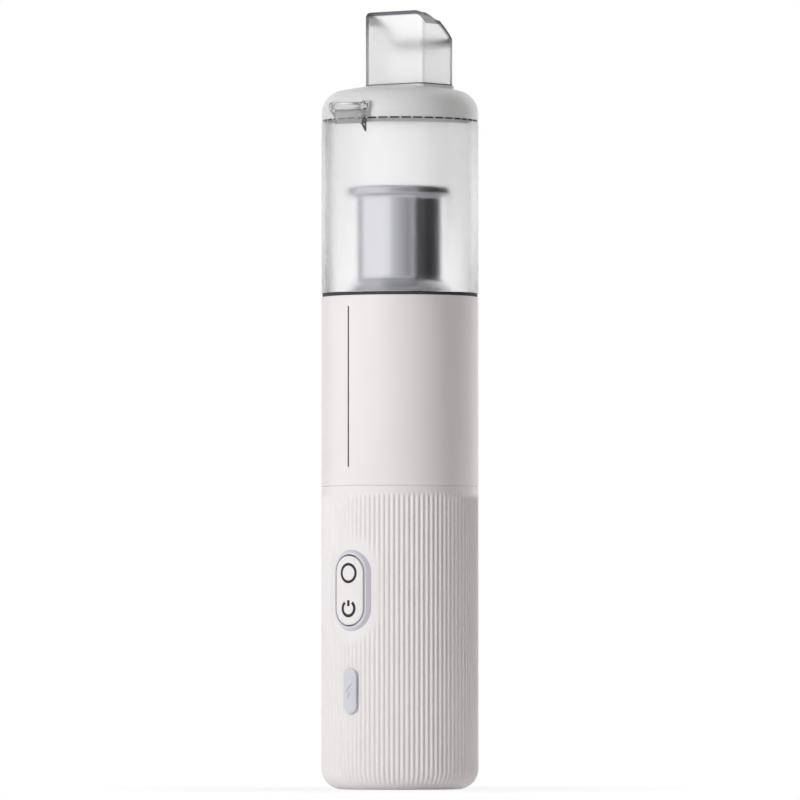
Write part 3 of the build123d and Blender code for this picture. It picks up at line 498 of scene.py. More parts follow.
def follow_casing(verts):
    """Moves points of the key's face back along Y, so that the flat face takes the round of the casing."""
    for vert in verts:
        vert.co.y += -key_face * MM - math.sqrt((key_face * MM) ** 2 - vert.co.x ** 2)


bm = bmesh.new()
front = pill_loop(bm, *key_size, key_face, key_height)
skin_loops(bm, [front, pill_loop(bm, *key_size, key_back, key_height)])
round_edges(bm, front, key_edge, 5)
strips = round(key_size[0] / key_strip)
for step in range(1, strips):
    x = (step / strips - 0.5) * key_size[0] * MM
    bmesh.ops.bisect_plane(bm, geom=everything(bm), plane_co=(x, 0, 0), plane_no=(1, 0, 0))
follow_casing([vert for vert in bm.verts if vert.co.y < (key_back - face_margin) * MM])
key = new_piece(bm, "rocker")
pivot = (pivot_y, key_height)
lug = box_block("lug", (-lug_half_width, key_back - root_sink, key_height - lug_radius),
                (lug_half_width, pivot_y, key_height + lug_radius))
knuckle = rod_x("knuckle", lug_radius, -lug_half_width, lug_half_width, pivot)
posts = []
for side in (-1, 1):
    height = key_height + side * post_offset
    root, tip = (0, key_back - root_sink, height), (0, post_end, height)
    posts.append(round_rod("post", post_radius, root, tip, 32))
combine(key, "UNION", lug, knuckle, *posts)
combine(key, "DIFFERENCE", rod_x("bore", pivot_hole_radius, -bore_end, bore_end, pivot, 24))
finish_piece(key, warm_white)
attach(key, "key")
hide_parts("rocker_key")


def printed_arc(name, radius, stroke, height, gap=0.0):
    """A flat printed ring, or an arc with a gap on top, in the face of the key."""
    bm = bmesh.new()
    centre = Vector((0, 0, height * MM))
    low, high = (key_face - sign_rise) * MM, (key_face + sign_sink) * MM
    across = Vector((math.sin(gap / 2), 0, math.cos(gap / 2)))
    inner, outer = (radius - stroke / 2) * MM, (radius + stroke / 2) * MM
    spots = ring_section(inner, outer, low, high)
    verts = [bm.verts.new(centre + across * reach + Vector((0, depth, 0))) for reach, depth in spots]
    face = bm.faces.new(verts)
    geometry = list(face.edges) + verts if gap == 0 else [face] + list(face.edges) + verts
    if gap == 0:
        bmesh.ops.delete(bm, geom=[face], context="FACES_ONLY")
    bmesh.ops.spin(bm, geom=geometry, cent=centre, axis=(0, 1, 0), dvec=(0, 0, 0), angle=math.tau - gap,
                   steps=72, use_merge=gap == 0, use_duplicate=False)
    return new_piece(bm, name)


mode_sign = printed_arc("mode_sign", ring_radius, ring_stroke, key_height + ring_offset)
power_height = key_height - power_offset
power_sign = printed_arc("power_sign", power_radius, power_stroke, power_height, power_gap)
power_stem = box_block("power_stem", (-power_stroke / 2, key_face - sign_rise, power_height + power_bar[0]),
                       (power_stroke / 2, key_face + sign_sink, power_height + power_bar[1]))
# Pad-printed black ink: flat, slightly satin, with a faint unevenness.
ink = moulded("printed_ink", "#161617", "#1E1E20", grain=0.5, rough=0.45, relief=0.002)
for sign in (mode_sign, power_sign, power_stem):
    follow_casing(sign.data.vertices)
    finish_piece(sign, ink)
    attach(sign, "key")


# Port cover: a soft pill of pale grey silicone over the charging port, with a plug behind it that
# fills the opening and a shallow bolt pressed into its face.
cover_size = (6.2, 17.4)
cover_face = -31.0
cover_edge = 0.4
cover_seat_radius = 30.05
plug_size = (4.9, 12.9)
plug_back = -28.0
bolt_depth = 0.3
bolt_corners = ((1.1, 2.9), (-1.9, -0.35), (-0.2, -0.35), (-1.1, -2.9), (1.9, 0.4), (0.25, 0.4))


def prism(name, corners, step):
    """A flat outline of corners, pushed along a step into a solid."""
    bm = bmesh.new()
    face = bm.faces.new([bm.verts.new([value * MM for value in corner]) for corner in corners])
    pushed = bmesh.ops.extrude_face_region(bm, geom=[face])["geom"]
    far_end = [item for item in pushed if isinstance(item, bmesh.types.BMVert)]
    bmesh.ops.translate(bm, verts=far_end, vec=[value * MM for value in step])
    return new_piece(bm, name)


bm = bmesh.new()
face_loop = pill_loop(bm, *cover_size, cover_face, port_height)
seat_loop = pill_loop(bm, *cover_size, 0, port_height)
plug_seat = pill_loop(bm, *plug_size, 0, port_height)
sit_on_casing(seat_loop, cover_seat_radius)
sit_on_casing(plug_seat, cover_seat_radius)
skin_loops(bm, [face_loop, seat_loop, plug_seat, pill_loop(bm, *plug_size, plug_back, port_height)])
round_edges(bm, face_loop, cover_edge, 4)
cover = new_piece(bm, "soft_port_cover")
bolt_spots = [(x, cover_face + bolt_depth, port_height + z) for x, z in bolt_corners]
combine(cover, "DIFFERENCE", prism("bolt", bolt_spots, (0, -past, 0)))
# Silicone: dead matt, cool pale grey, with a fine eroded skin.
silicone = moulded("grey_silicone", "#D6D6DD", "#CFCFD7", grain=0.5, rough=0.6, relief=0.004)
finish_piece(cover, silicone)
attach(cover, "port_cover")
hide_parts("port_cover")


# Battery: three cells in blue shrink sleeves stand on a moulded tray under a lid, joined by spot-welded
# nickel strips. They are inside the grip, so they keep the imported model's shapes.
def dress(finish, *nodes):
    """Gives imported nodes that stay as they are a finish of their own."""
    for name in nodes:
        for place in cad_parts[name].material_slots:
            place.material = finish


def metal(name, colour, worn, rough, line=0.4, gloss_spread=0.1, stretch=(1, 1, 1), relief=0.002):
    """Metal with fine tool marks. Stretch draws the marks out along an axis."""
    finish, tree = new_finish(name)
    place = add(tree, "TexCoord").outputs["Object"]
    drawn = add(tree, "Mapping", {"Vector": place, "Scale": stretch})
    grain = {"Vector": drawn.outputs["Vector"], "Scale": 1 / (line * MM), "Detail": 4.0}
    marks = add(tree, "TexNoise", grain)
    tones = {"Factor": marks.outputs["Fac"], "A": linear(colour), "B": linear(worn)}
    tint = add(tree, "Mix", tones, data_type="RGBA")
    grained_skin(tree, tint, marks, (rough, gloss_spread), (0.4, relief), {"Metallic": 1.0})
    return finish


# Natural grey ABS of the inner mouldings, satin, with a visible grain.
inner_grey = moulded("inner_abs", "#DDDDDE", "#D3D3D5", grain=0.8, rough=0.42)
dress(inner_grey, "battery_tray", "battery_lid")
# PVC shrink sleeve over a steel can: glossy, with slow ripples where it shrank.
shrink_sleeve = moulded("shrink_sleeve", "#7C9CBB", "#6F90B2", grain=2.5, rough=0.22, relief=0.03)
dress(shrink_sleeve, "cell_rear", "cell_left", "cell_right")
# Rolled nickel strip, with faint lines along the roll.
nickel = metal("rolled_nickel", "#D4D1CB", "#BDB9B1", rough=0.28, stretch=(0.15, 1, 1))
dress(nickel, "cell_strap_top", "cell_strap_bottom")
# Zinc-plated steel of every screw: pale, slightly cloudy.
zinc = metal("zinc_plate", "#B9BABD", "#9FA0A4", rough=0.32, line=0.6)
dress(zinc, "base_screws", "lid_screws", "board_screws", "carrier_screws", "driver_screws", "intake_screws")


# Boards: a long main board behind the key carries the charging port and two key switches, and a round
# motor board hangs under the motor frame. Both are glass epoxy under a green mask.
track_pitch = 1.6


def solder_mask(name, mask, track):
    """Green mask over copper tracks, which show as a paler, slightly raised maze."""
    finish, tree = new_finish(name)
    place = add(tree, "TexCoord").outputs["Object"]
    pitch = {"Vector": place, "Scale": 1 / (track_pitch * MM)}
    cells = add(tree, "TexVoronoi", pitch, distance="MANHATTAN")
    lines = add(tree, "MapRange", {"Value": cells.outputs["Distance"], "From Min": 0.42, "From Max": 0.5})
    tones = {"Factor": lines.outputs["Result"], "A": linear(mask), "B": linear(track)}
    colour = add(tree, "Mix", tones, data_type="RGBA")
    bump = add(tree, "Bump", {"Height": lines.outputs["Result"], "Strength": 0.4, "Distance": 0.03 * MM})
    skin = add(tree, "BsdfPrincipled", {
        "Base Color": colour.outputs["Result"],
        "Normal": bump.outputs["Normal"],
        "Roughness": 0.3,
    })
    add(tree, "OutputMaterial", {"Surface": skin.outputs["BSDF"]})
    return finish


dress(solder_mask("green_mask", "#1F5B34", "#2F7A49"), "main_board", "driver_board")
# Ground steel of pins, shaft, bearings and the port's shell.
ground_steel = metal("ground_steel", "#CFCFD1", "#B5B5B8", rough=0.22, stretch=(1, 1, 0.2))
dress(ground_steel, "usb_port", "key_pivot_pin", "motor_shaft", "bearing_lower", "bearing_upper",
      "impeller_nut")
# Black nylon of the switches and the port's tongue.
black_nylon = moulded("black_nylon", "#2A2A2B", "#232324", grain=0.4, rough=0.4)
dress(black_nylon, "mode_switch", "power_switch", "usb_tongue")


# Motor and fan: a small brushless motor in a rubber mount drives a plastic fan inside a shroud. They
# stand in a moulded frame that joins the grip and the sleeve, and nothing of them shows from outside.
dress(inner_grey, "motor_carrier", "fan_shroud", "diffuser")
# Turned aluminium, stacked steel sheets and lacquered copper wire, each with lines round the axis.
aluminium = metal("turned_aluminium", "#BFC0C4", "#A9AAAF", rough=0.3, stretch=(0.2, 0.2, 3))
dress(aluminium, "motor_can", "motor_end_cap")
sheets = metal("core_laminations", "#A5A6AA", "#85868B", rough=0.35, line=0.5, stretch=(0.05, 0.05, 1))
dress(sheets, "stator_core")
copper = metal("copper_wire", "#C98D5E", "#B0703F", rough=0.25, line=0.5, stretch=(0.1, 0.1, 1))
dress(copper, "stator_coils")
# Sintered magnet, dull grey, and the fan's satin grey nylon.
dress(metal("sintered_magnet", "#76777A", "#616266", rough=0.45), "rotor_magnet")
dress(moulded("fan_nylon", "#7B7B80", "#707076", grain=0.5, rough=0.4), "impeller")
# Black nitrile rubber of the mount, gaskets and seals: matt, with a faint bloom.
rubber = moulded("black_rubber", "#3A3A3F", "#323237", grain=0.5, rough=0.55, relief=0.004)
dress(rubber, "motor_mount", "shroud_gasket", "filter_seal")


# Sleeve: the plain upper half of the casing, a tube of the same warm white ABS as the grip, pushed over
# the motor frame. A thin printed line runs up its front.
sleeve_top = 188.0
line_width = 0.62
line_ends = (122.6, 183.8)
line_sink = 0.06
line_rise = 0.012
line_turn = math.radians(-2.6)

bm = lathe(ring_section(case_bore, body_radius, grip_height, sleeve_top),
           {1: (seam_round, 3), 2: (seam_round, 3)}, 256)
sleeve = new_piece(bm, "plain_sleeve")
finish_piece(sleeve, warm_white)
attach(sleeve, "body")
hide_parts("sleeve")

bm = bmesh.new()
inner, outer = body_radius - line_sink, body_radius + line_rise
spots = ring_section(inner, outer, *line_ends)
bm.faces.new([bm.verts.new((reach * MM, 0, height * MM)) for reach, height in spots])
sweep = line_width / body_radius
spin(bm, sweep, 4)
turn_all(bm, line_turn - math.pi / 2 - sweep / 2, "Z")
front_line = new_piece(bm, "front_line")
finish_piece(front_line, ink)
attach(front_line, "body")


# Intake: a moulded plate on top of the motor frame, with a guard over the fan's inlet. A soft dark ring
# lies on the sleeve's rim and seals the cup, which plugs into the sleeve.
seal_outer = 29.7
seal_inner = 27.7
seal_top = 189.2
seal_edge = 0.25

dress(inner_grey, "intake_plate")
bm = lathe(ring_section(seal_inner, seal_outer, sleeve_top, seal_top),
           {1: (seal_edge, 2), 2: (seal_edge, 2)})
cup_ring = new_piece(bm, "cup_seal_ring")
finish_piece(cup_ring, rubber)
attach(cup_ring, "body")
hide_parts("cup_seal")


# Filter: a moulded base with a conical shoulder, a polished steel tube with a rolled bead at each end,
# and a moulded cap. Folded paper stands inside the tube. The whole lifts off the intake.
filter_bore = 13.5
filter_base_radius = 22.45
filter_low = 183.0
cone_low = 190.0
cone_top = 195.0
cone_land = 17.7
tube_radius = 17.0
tube_bore = 16.5
tube_top = 226.6
bead_reach = 17.6
bead_height = 1.2
bead_round = 0.55
cap_radius = 20.5
cap_top = 229.8
cap_round = 1.2
cap_lip = 0.5
foot_edge = 0.4
cone_round = 0.8
socket_radius = 16.45
socket_bore = 15.05
socket_height = 2.0

bm = lathe([(filter_bore, filter_low), (filter_base_radius, filter_low), (filter_base_radius, cone_low),
            (cone_land, cone_top), (socket_radius, cone_top), (socket_radius, cone_top + socket_height),
            (socket_bore, cone_top + socket_height), (socket_bore, cone_top), (filter_bore, cone_top)],
           {1: (foot_edge, 2), 2: (cone_round, 4), 3: (foot_edge, 3)})
filter_base = new_piece(bm, "filter_base_cone")
bm = lathe([(tube_bore, cone_top), (bead_reach, cone_top), (bead_reach, cone_top + bead_height),
            (tube_radius, cone_top + bead_height), (tube_radius, tube_top - bead_height),
            (bead_reach, tube_top - bead_height), (bead_reach, tube_top), (tube_bore, tube_top)],
           {1: (bead_round, 4), 2: (bead_round, 4), 5: (bead_round, 4), 6: (bead_round, 4)}, 256)
filter_tube = new_piece(bm, "filter_steel_tube")
bm = lathe([(0, tube_top), (socket_bore, tube_top), (socket_bore, tube_top - socket_height),
            (socket_radius, tube_top - socket_height), (socket_radius, tube_top), (cap_radius, tube_top),
            (cap_radius, cap_top), (0, cap_top)], {5: (cap_lip, 3), 6: (cap_round, 5)})
filter_top = new_piece(bm, "filter_top_cap")
# Metallised ABS of the base and the cap: a thin bright metal skin, a little cloudy, so it mirrors softly.
filter_grey = metal("metallised_abs", "#DDDDE3", "#CFCFD7", rough=0.2, line=0.5, relief=0.001)
# Polished stainless steel sheet with fine upright drawing marks.
polished = metal("polished_steel", "#F3F3F8", "#E7E7EE", rough=0.18, line=0.35, gloss_spread=0.08,
                 stretch=(1, 1, 0.03), relief=0.0008)
for piece, finish, node, slot in ((filter_base, filter_grey, "filter_base", "filter_plastic"),
                                  (filter_tube, polished, "filter_tube", "polished_steel"),
                                  (filter_top, filter_grey, "filter_cap", "filter_plastic")):
    finish_piece(piece, finish)
    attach(piece, "filter")
    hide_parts(node)
# Pleated filter paper: matt, off-white, fibrous.
dress(moulded("filter_paper", "#EFEBE2", "#E4DFD3", grain=0.4, rough=0.85, relief=0.02), "pleated_element")


# Dust cup: a clear polycarbonate tube with a frosted skin. A skirt at its foot plugs into the sleeve.
cup_low = 189.2
cup_top = 255.0
cup_bore = 28.0
cup_edge = 0.3
flange_top = 189.6
skirt_low = 182.7
skirt_radius = 27.55
skirt_bore = 25.85
clear_ior = 1.49


def see_through(name, tint, edge, rim, rough, gloss_spread, grain, relief, milk=0.0):
    """Clear plastic with a frosted skin. It takes the edge tint where the wall is seen along its length,
    and paints the rim colour as painted shade where the mesh's rim attribute marks an edge."""
    finish, tree = new_finish(name)
    place = add(tree, "TexCoord").outputs["Object"]
    frost = add(tree, "TexNoise", {"Vector": place, "Scale": 1 / (grain * MM), "Detail": 2.0})
    glance = add(tree, "LayerWeight", {"Blend": 0.5})
    along = add(tree, "MapRange", {"Value": glance.outputs["Facing"], "From Min": 0.6, "From Max": 1.0})
    tones = {"Factor": along.outputs["Result"], "A": linear(tint), "B": linear(edge)}
    wall = add(tree, "Mix", tones, data_type="RGBA")
    # Painted shade: the rim colour is mixed in where the rim attribute marks an edge.
    mark = add(tree, "Attribute", attribute_name="rim")
    tones = {"Factor": mark.outputs["Fac"], "A": wall.outputs["Result"], "B": linear(rim)}
    colour = add(tree, "Mix", tones, data_type="RGBA")
    clearness = {"IOR": clear_ior, "Transmission Weight": 1.0 - milk}
    grained_skin(tree, colour, frost, (rough, gloss_spread), (0.3, relief), clearness)
    return finish


bm = lathe([(body_radius, cup_low), (body_radius, cup_top), (cup_bore, cup_top), (cup_bore, flange_top),
            (skirt_bore, flange_top), (skirt_bore, skirt_low), (skirt_radius, skirt_low),
            (skirt_radius, cup_low)], {0: (cup_edge, 3), 1: (cup_edge, 3), 4: (cup_edge, 3)}, 256)
cup = new_piece(bm, "frosted_cup")
# Polycarbonate with a fine frosted skin: it blurs what is behind it by a few degrees.
frosted = see_through("frosted_polycarbonate", "#FEFEFE", "#F6F6F6", "#8C8C92", rough=0.19,
                      gloss_spread=0.04, grain=0.5, relief=0.0004)
finish_piece(cup, frosted)
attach(cup, "dust_cup")
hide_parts("dust_cup")


# Cap hinge: a polished leaf with a knuckle and a small rib stands on the cup's front rim, two ears stand
# on the cap, and a ground steel pin runs through all three.
leaf_half_width = 6.6
leaf_low = 253.2
leaf_front = -31.625
leaf_back = -30.375
leaf_root = -28.6
hinge_y = -31.0
hinge_z = 259.6
hinge_axis = (hinge_y, hinge_z)
knuckle_radius = 1.55
pin_radius = 0.9
pin_half_length = 9.0
pin_chamfer = 0.2
pin_hole_radius = 0.95
web_thickness = 1.0
web_low = 249.8
ear_radius = 2.1
ear_width = 1.5
ear_middle = 7.65
ear_root = -28.2
edge_width = 0.32
short_edge = 0.08
foot_inset = 0.4
foot_drop = 0.05
web_lap = 0.1
ear_chin = (-1.89, -0.84)
ear_toe = 1.05
ear_lift = 0.85
ear_drop = 0.05
bore_half_length = 20.0


def bevel_and_shade_edges(piece):
    """Merges a piece's short edges, bevels its sharp ones and marks the bevels with the rim attribute,
    where the material paints a grey line of painted shade.
    """
    bm = bmesh.new()
    bm.from_mesh(piece.data)
    rim = bm.faces.layers.float.new("rim")
    bmesh.ops.dissolve_limit(bm, angle_limit=math.radians(1), verts=bm.verts, edges=bm.edges)
    bmesh.ops.remove_doubles(bm, verts=bm.verts, dist=short_edge * MM)
    sharp = [edge for edge in bm.edges if edge.calc_face_angle(0.0) > math.radians(35)]
    for face in bevel(bm, sharp, edge_width, 2, "EDGES", clamp=True)["faces"]:
        face[rim] = 1.0
    bm.to_mesh(piece.data)
    bm.free()


leaf = box_block("hinge_leaf", (-leaf_half_width, leaf_front, leaf_low),
                 (leaf_half_width, leaf_back, hinge_z))
knuckle = rod_x("knuckle", knuckle_radius, -leaf_half_width, leaf_half_width, hinge_axis)
leaf_foot = box_block("leaf_foot", (-leaf_half_width, leaf_front + foot_inset, leaf_low),
                      (leaf_half_width, leaf_root, cup_top - foot_drop))
combine(leaf, "UNION", leaf_foot, knuckle)
bore = (pin_hole_radius, -bore_half_length, bore_half_length, hinge_axis, 32)
combine(leaf, "DIFFERENCE", rod_x("bore", *bore))
bevel_and_shade_edges(leaf)
web = ((leaf_front, leaf_low + web_lap), (leaf_root, leaf_low + web_lap), (leaf_root, web_low))
rib_left = leaf_half_width - web_thickness
leaf_rib = prism("leaf_rib", [(rib_left, y, z) for y, z in web], (web_thickness, 0, 0))
bevel_and_shade_edges(leaf_rib)
ear_foot = cup_top + ear_lift
ear_top = hinge_z + ear_radius - ear_drop
web = ((hinge_y + ear_chin[0], hinge_z + ear_chin[1]), (hinge_y + ear_toe, ear_foot), (ear_root, ear_foot),
       (ear_root, ear_top), (hinge_y, ear_top))
ears = []
for side, name in ((-1, "left_ear"), (1, "right_ear")):
    left = side * ear_middle - ear_width / 2
    ear = prism(name, [(left, y, z) for y, z in web], (ear_width, 0, 0))
    combine(ear, "UNION", rod_x("ear_end", ear_radius, left, left + ear_width, hinge_axis))
    combine(ear, "DIFFERENCE", rod_x("bore", *bore))
    bevel_and_shade_edges(ear)
    ears.append(ear)
bm = lathe(ring_section(0, pin_radius, -pin_half_length, pin_half_length),
           {1: (pin_chamfer, 2), 2: (pin_chamfer, 2)}, 48)
turn_all(bm, math.pi / 2, "Y")
bmesh.ops.translate(bm, verts=bm.verts, vec=(0, hinge_y * MM, hinge_z * MM))
pin = new_piece(bm, "hinge_steel_pin")
# Polished polycarbonate: clear as glass. Grey lines are painted on its bevelled edges as painted shade,
# where the edges turn the light aside.
polished_clear = see_through("polished_polycarbonate", "#FCFCFC", "#C8C8CC", "#55545B", rough=0.05,
                             gloss_spread=0.03, grain=0.6, relief=0.001, milk=0.12)
for piece, finish, body, slot in ((leaf, polished_clear, "dust_cup", "frosted_plastic"),
                                  (leaf_rib, polished_clear, "dust_cup", "frosted_plastic"),
                                  (ears[0], polished_clear, "cap", "frosted_plastic"),
                                  (ears[1], polished_clear, "cap", "frosted_plastic"),
                                  (pin, polished, "dust_cup", "polished_steel")):
    finish_piece(piece, finish)
    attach(piece, body)
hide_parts("hinge_pin")


# Front cap: a domed lid of the same frosted polycarbonate. A ring inside guides it into the cup, and a
# collar in its roof takes the nozzle. A thumb lip lifts it at the rear.
cap_low = 255.6
cap_inner = 27.8
shoulder_edge = 265.57
shoulder_reach = 7.1
shoulder_end = (22.96, 266.94)
cap_peak = 269.2
dome_rise = 2.26
cap_wall = 2.2
inner_shoulder_edge = 263.76
inner_shoulder_reach = 5.3
inner_shoulder_end = (22.54, 264.78)
nozzle_middle = 5.6
collar_low = 260.5
collar_top = 265.4
collar_frame = (30.6, 22.8, 3.55)
boss_frame = (29.5, 21.7, 3.0)
socket_frame = (27.4, 19.6, 1.95)
boss_lift = 0.1
corner_clear = 1.02
register_outline = ((26.2, 253.6), (27.5, 253.6), (27.5, 256.3), (28.9, 256.3), (28.9, 257.7),
                    (26.2, 257.7))
thumb_low = (-6.0, 28.9, 255.85)
thumb_high = (6.0, 31.6, 257.65)
pocket_half_width = 6.9
pocket_back = -29.1
pocket_top = 261.5
flap_axis = (-7.6, 259.55)
flap_knuckle_radius = 1.5
flap_lug_width = 2.0
flap_lug_middle = 10.3
flap_lug_top = 264.5
flap_arm_inset = 1.0
flap_arm_lift = 0.2
flap_arm_end = -5.0
flap_pin_bore = 0.8
flap_bore_end = 11.0


def frame_loop(bm, width, depth, corner, height, cuts=0):
    """A wire with a rounded rectangle's outline at a height, round the nozzle's middle.
    Cuts gives the number of extra spots along each straight side."""
    sides = ((-1, -1), (1, -1), (1, 1), (-1, 1))
    spots = [Vector((x * width / 2, y * depth / 2 + nozzle_middle, height)) for x, y in sides]
    before = set(bm.verts)
    bends = []
    chain = []
    for spot, following in zip(spots, spots[1:] + spots[:1]):
        bends.append(bm.verts.new(spot * MM))
        chain.append(bends[-1])
        inset = (following - spot).normalized() * corner * corner_clear
        start, end = spot + inset, following - inset
        chain += [bm.verts.new(start.lerp(end, (step + 1) / (cuts + 1)) * MM) for step in range(cuts)]
    for step in range(len(chain)):
        bm.edges.new((chain[step - 1], chain[step]))
    bevel(bm, bends, corner, 8, "VERTICES")
    return [vert for vert in bm.verts if vert not in before]


def frame_block(name, size, low, high):
    """An upright block with a rounded rectangle's outline."""
    bm = bmesh.new()
    skin_loops(bm, [frame_loop(bm, *size, low), frame_loop(bm, *size, high)])
    return new_piece(bm, name)


def dome(peak, end, rise, steps=6):
    """(radius, height) spots of a shallow dome from its shoulder to the axis."""
    shares = [1 - step / steps for step in range(1, steps + 1)]
    return [(end[0] * share, peak - rise * share ** 2) for share in shares]


outer_dome = dome(cap_peak, shoulder_end, dome_rise)
inner_dome = dome(cap_peak - cap_wall, inner_shoulder_end, cap_peak - cap_wall - inner_shoulder_end[1])
corners = [(body_radius, cap_low), (body_radius, shoulder_edge), shoulder_end] + outer_dome
corners += inner_dome[::-1] + [inner_shoulder_end, (cap_inner, inner_shoulder_edge), (cap_inner, cap_low)]
rounds = {0: (cup_edge, 3), 1: (shoulder_reach, 12), len(corners) - 2: (inner_shoulder_reach, 10)}
bm = lathe(corners, rounds, 256)
cap = new_piece(bm, "frosted_cap")
collar = frame_block("collar", collar_frame, collar_low, collar_top)
boss = frame_block("boss", boss_frame, collar_low + boss_lift, cap_peak)
register = new_piece(lathe(register_outline, {}, 256), "register")
thumb = box_block("thumb", thumb_low, thumb_high)
lugs = []
front = flap_axis[0] - flap_knuckle_radius
back = front + 2 * flap_knuckle_radius
for side in (-1, 1):
    left = side * flap_lug_middle - flap_lug_width / 2
    right = left + flap_lug_width
    lugs.append(rod_x("lug_end", flap_knuckle_radius, left, right, flap_axis, 32))
    lugs.append(box_block("lug_leg", (left, front, flap_axis[1]), (right, back, flap_lug_top)))
    lugs.append(box_block("lug_arm", (left, front + flap_arm_inset, collar_low + flap_arm_lift),
                          (right, flap_arm_end, flap_lug_top)))
combine(cap, "UNION", collar, boss, register, thumb, *lugs)
pocket = box_block("pocket", (-pocket_half_width, -2 * body_radius, cap_low - past),
                   (pocket_half_width, pocket_back, pocket_top))
socket = frame_block("socket", socket_frame, collar_low - past, cap_peak + past)
combine(cap, "DIFFERENCE", pocket, socket)
combine(cap, "DIFFERENCE", rod_x("flap_bore", flap_pin_bore, -flap_bore_end, flap_bore_end, flap_axis, 24))
# The cap's frost is a little milkier than the cup's.
frosted_cap = see_through("frosted_cap_polycarbonate", "#FEFEFE", "#F6F6F6", "#8C8C92", rough=0.28,
                          gloss_spread=0.05, grain=0.5, relief=0.0008, milk=0.65)
finish_piece(cap, frosted_cap)
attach(cap, "cap")
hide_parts("front_cap")


# Cap seal: a thin dark ring on the cap's rim. Small pale nylon pads in its outer face keep it from
# being crushed when the cap is shut.
cap_seal_outer = 29.65
cap_seal_inner = 28.35
pad_count = 42
pad_length = 0.8
pad_sink = 0.4
pad_rise = 0.06
pad_gap = 0.04

bm = lathe(ring_section(cap_seal_inner, cap_seal_outer, cup_top, cap_low), {})
cap_ring = new_piece(bm, "cap_seal_ring")
bm = bmesh.new()
reach = cap_seal_outer - (pad_sink - pad_rise) / 2
pad_height = cap_low - cup_top - pad_gap
size = Matrix.Diagonal(((pad_sink + pad_rise) * MM, pad_length * MM, pad_height * MM, 1.0))
spot = Matrix.Translation((reach * MM, 0, (cup_top + cap_low) / 2 * MM))
bmesh.ops.create_cube(bm, size=1.0, matrix=spot @ size)
spin(bm, math.tau * (pad_count - 1) / pad_count, pad_count - 1, copies=True)
seal_pads = new_piece(bm, "cap_seal_pads")
# Natural nylon of the pads: milky white, satin.
nylon = moulded("natural_nylon", "#E4E2E6", "#DAD8DD", grain=0.5, rough=0.4)
finish_piece(cap_ring, rubber)
finish_piece(seal_pads, nylon)
for piece, slot in ((cap_ring, "dark_rubber"), (seal_pads, "inner_plastic")):
    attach(piece, "cap")
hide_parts("cap_seal")


# Inlet flap: a soft grey tongue under the nozzle's socket that hangs on a steel pin. The draught swings
# it down, and it falls shut to keep the dust in.
soft_grey = moulded("flap_silicone", "#DADADC", "#D0D0D3", grain=0.5, rough=0.55, relief=0.004)
dress(soft_grey, "inlet_flap")
dress(ground_steel, "flap_pin")


# Nozzle: a clear polycarbonate duct with a slanted mouth, pushed into the cap's socket on a thin dark
# gasket. Its front corners are rounded, and its rear wall is cut lower.
nozzle_frame = (28.5, 20.7, 2.5)
nozzle_bore = (25.1, 17.3, 0.9)
nozzle_plug = (26.9, 19.1, 1.7)
nozzle_low = 269.7
nozzle_top = 297.4
plug_low = 261.2
mouth_drop = 11.8
mouth_bulge = 2.875
mouth_corner = 3.6
rim_shade_band = 1.35
rim_shade_fade = 0.15
mouth_edge = 0.3
side_cuts = 36
gasket_frame = (28.4, 20.6, 2.45)
gasket_bore = (26.95, 19.15, 1.72)


def mouth_height(x, y):
    """The height of the mouth's edge: a bowed slope to the rear, with rounded front corners."""
    along = (y - nozzle_middle) / nozzle_frame[1] + 0.5
    slope = nozzle_top - mouth_drop * along + 4 * mouth_bulge * along * (1 - along)
    aside = max(abs(x) - (nozzle_frame[0] / 2 - mouth_corner), 0.0)
    corner = nozzle_top - mouth_corner + math.sqrt(max(mouth_corner ** 2 - aside ** 2, 0.0))
    return min(slope, corner)


bm = bmesh.new()
bore_low = frame_loop(bm, *nozzle_bore, plug_low, side_cuts)
plug_foot = frame_loop(bm, *nozzle_plug, plug_low, side_cuts)
plug_head = frame_loop(bm, *nozzle_plug, nozzle_low, side_cuts)
shoulder = frame_loop(bm, *nozzle_frame, nozzle_low, side_cuts)
mouth = []
outer_drops = (rim_shade_band + rim_shade_fade, rim_shade_band, 0.0)
for size, drops in ((nozzle_frame, outer_drops), (nozzle_bore, outer_drops[::-1])):
    for drop in drops:
        mouth.append(frame_loop(bm, *size, nozzle_top, side_cuts))
        for vert in mouth[-1]:
            vert.co.z = (mouth_height(vert.co.x / MM, vert.co.y / MM) - drop) * MM
skin_loops(bm, [bore_low, plug_foot, plug_head, shoulder] + mouth, closed=True)
for ring in mouth[2:4]:
    round_edges(bm, ring, mouth_edge, 3)
# Painted shade: the rim attribute marks a band under the mouth's edge, which the material paints grey.
rim = bm.verts.layers.float.new("rim")
for vert in bm.verts:
    below = mouth_height(vert.co.x / MM, vert.co.y / MM) - vert.co.z / MM
    vert[rim] = 1.0 if below < rim_shade_band + rim_shade_fade / 2 else 0.0
nozzle = new_piece(bm, "clear_nozzle")
# Clear polycarbonate with a hazy skin. A grey line is painted along the rim of the mouth: painted shade
# where its thick edge traps the light.
clear = see_through("clear_polycarbonate", "#FEFEFE", "#E9E9EA", "#6E6D74", rough=0.32,
                    gloss_spread=0.05, grain=0.6, relief=0.0008)
finish_piece(nozzle, clear)
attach(nozzle, "nozzle")
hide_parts("nozzle")

gasket = frame_block("nozzle_gasket", gasket_frame, cap_peak, nozzle_low)
opening = frame_block("gasket_opening", gasket_bore, cap_peak - past, nozzle_low + past)
combine(gasket, "DIFFERENCE", opening)
# Grey thermoplastic rubber, paler than the seals.
finish_piece(gasket, moulded("grey_rubber", "#76757B", "#6C6B71", grain=0.5, rough=0.55, relief=0.004))
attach(gasket, "nozzle")
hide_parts("nozzle_seal")


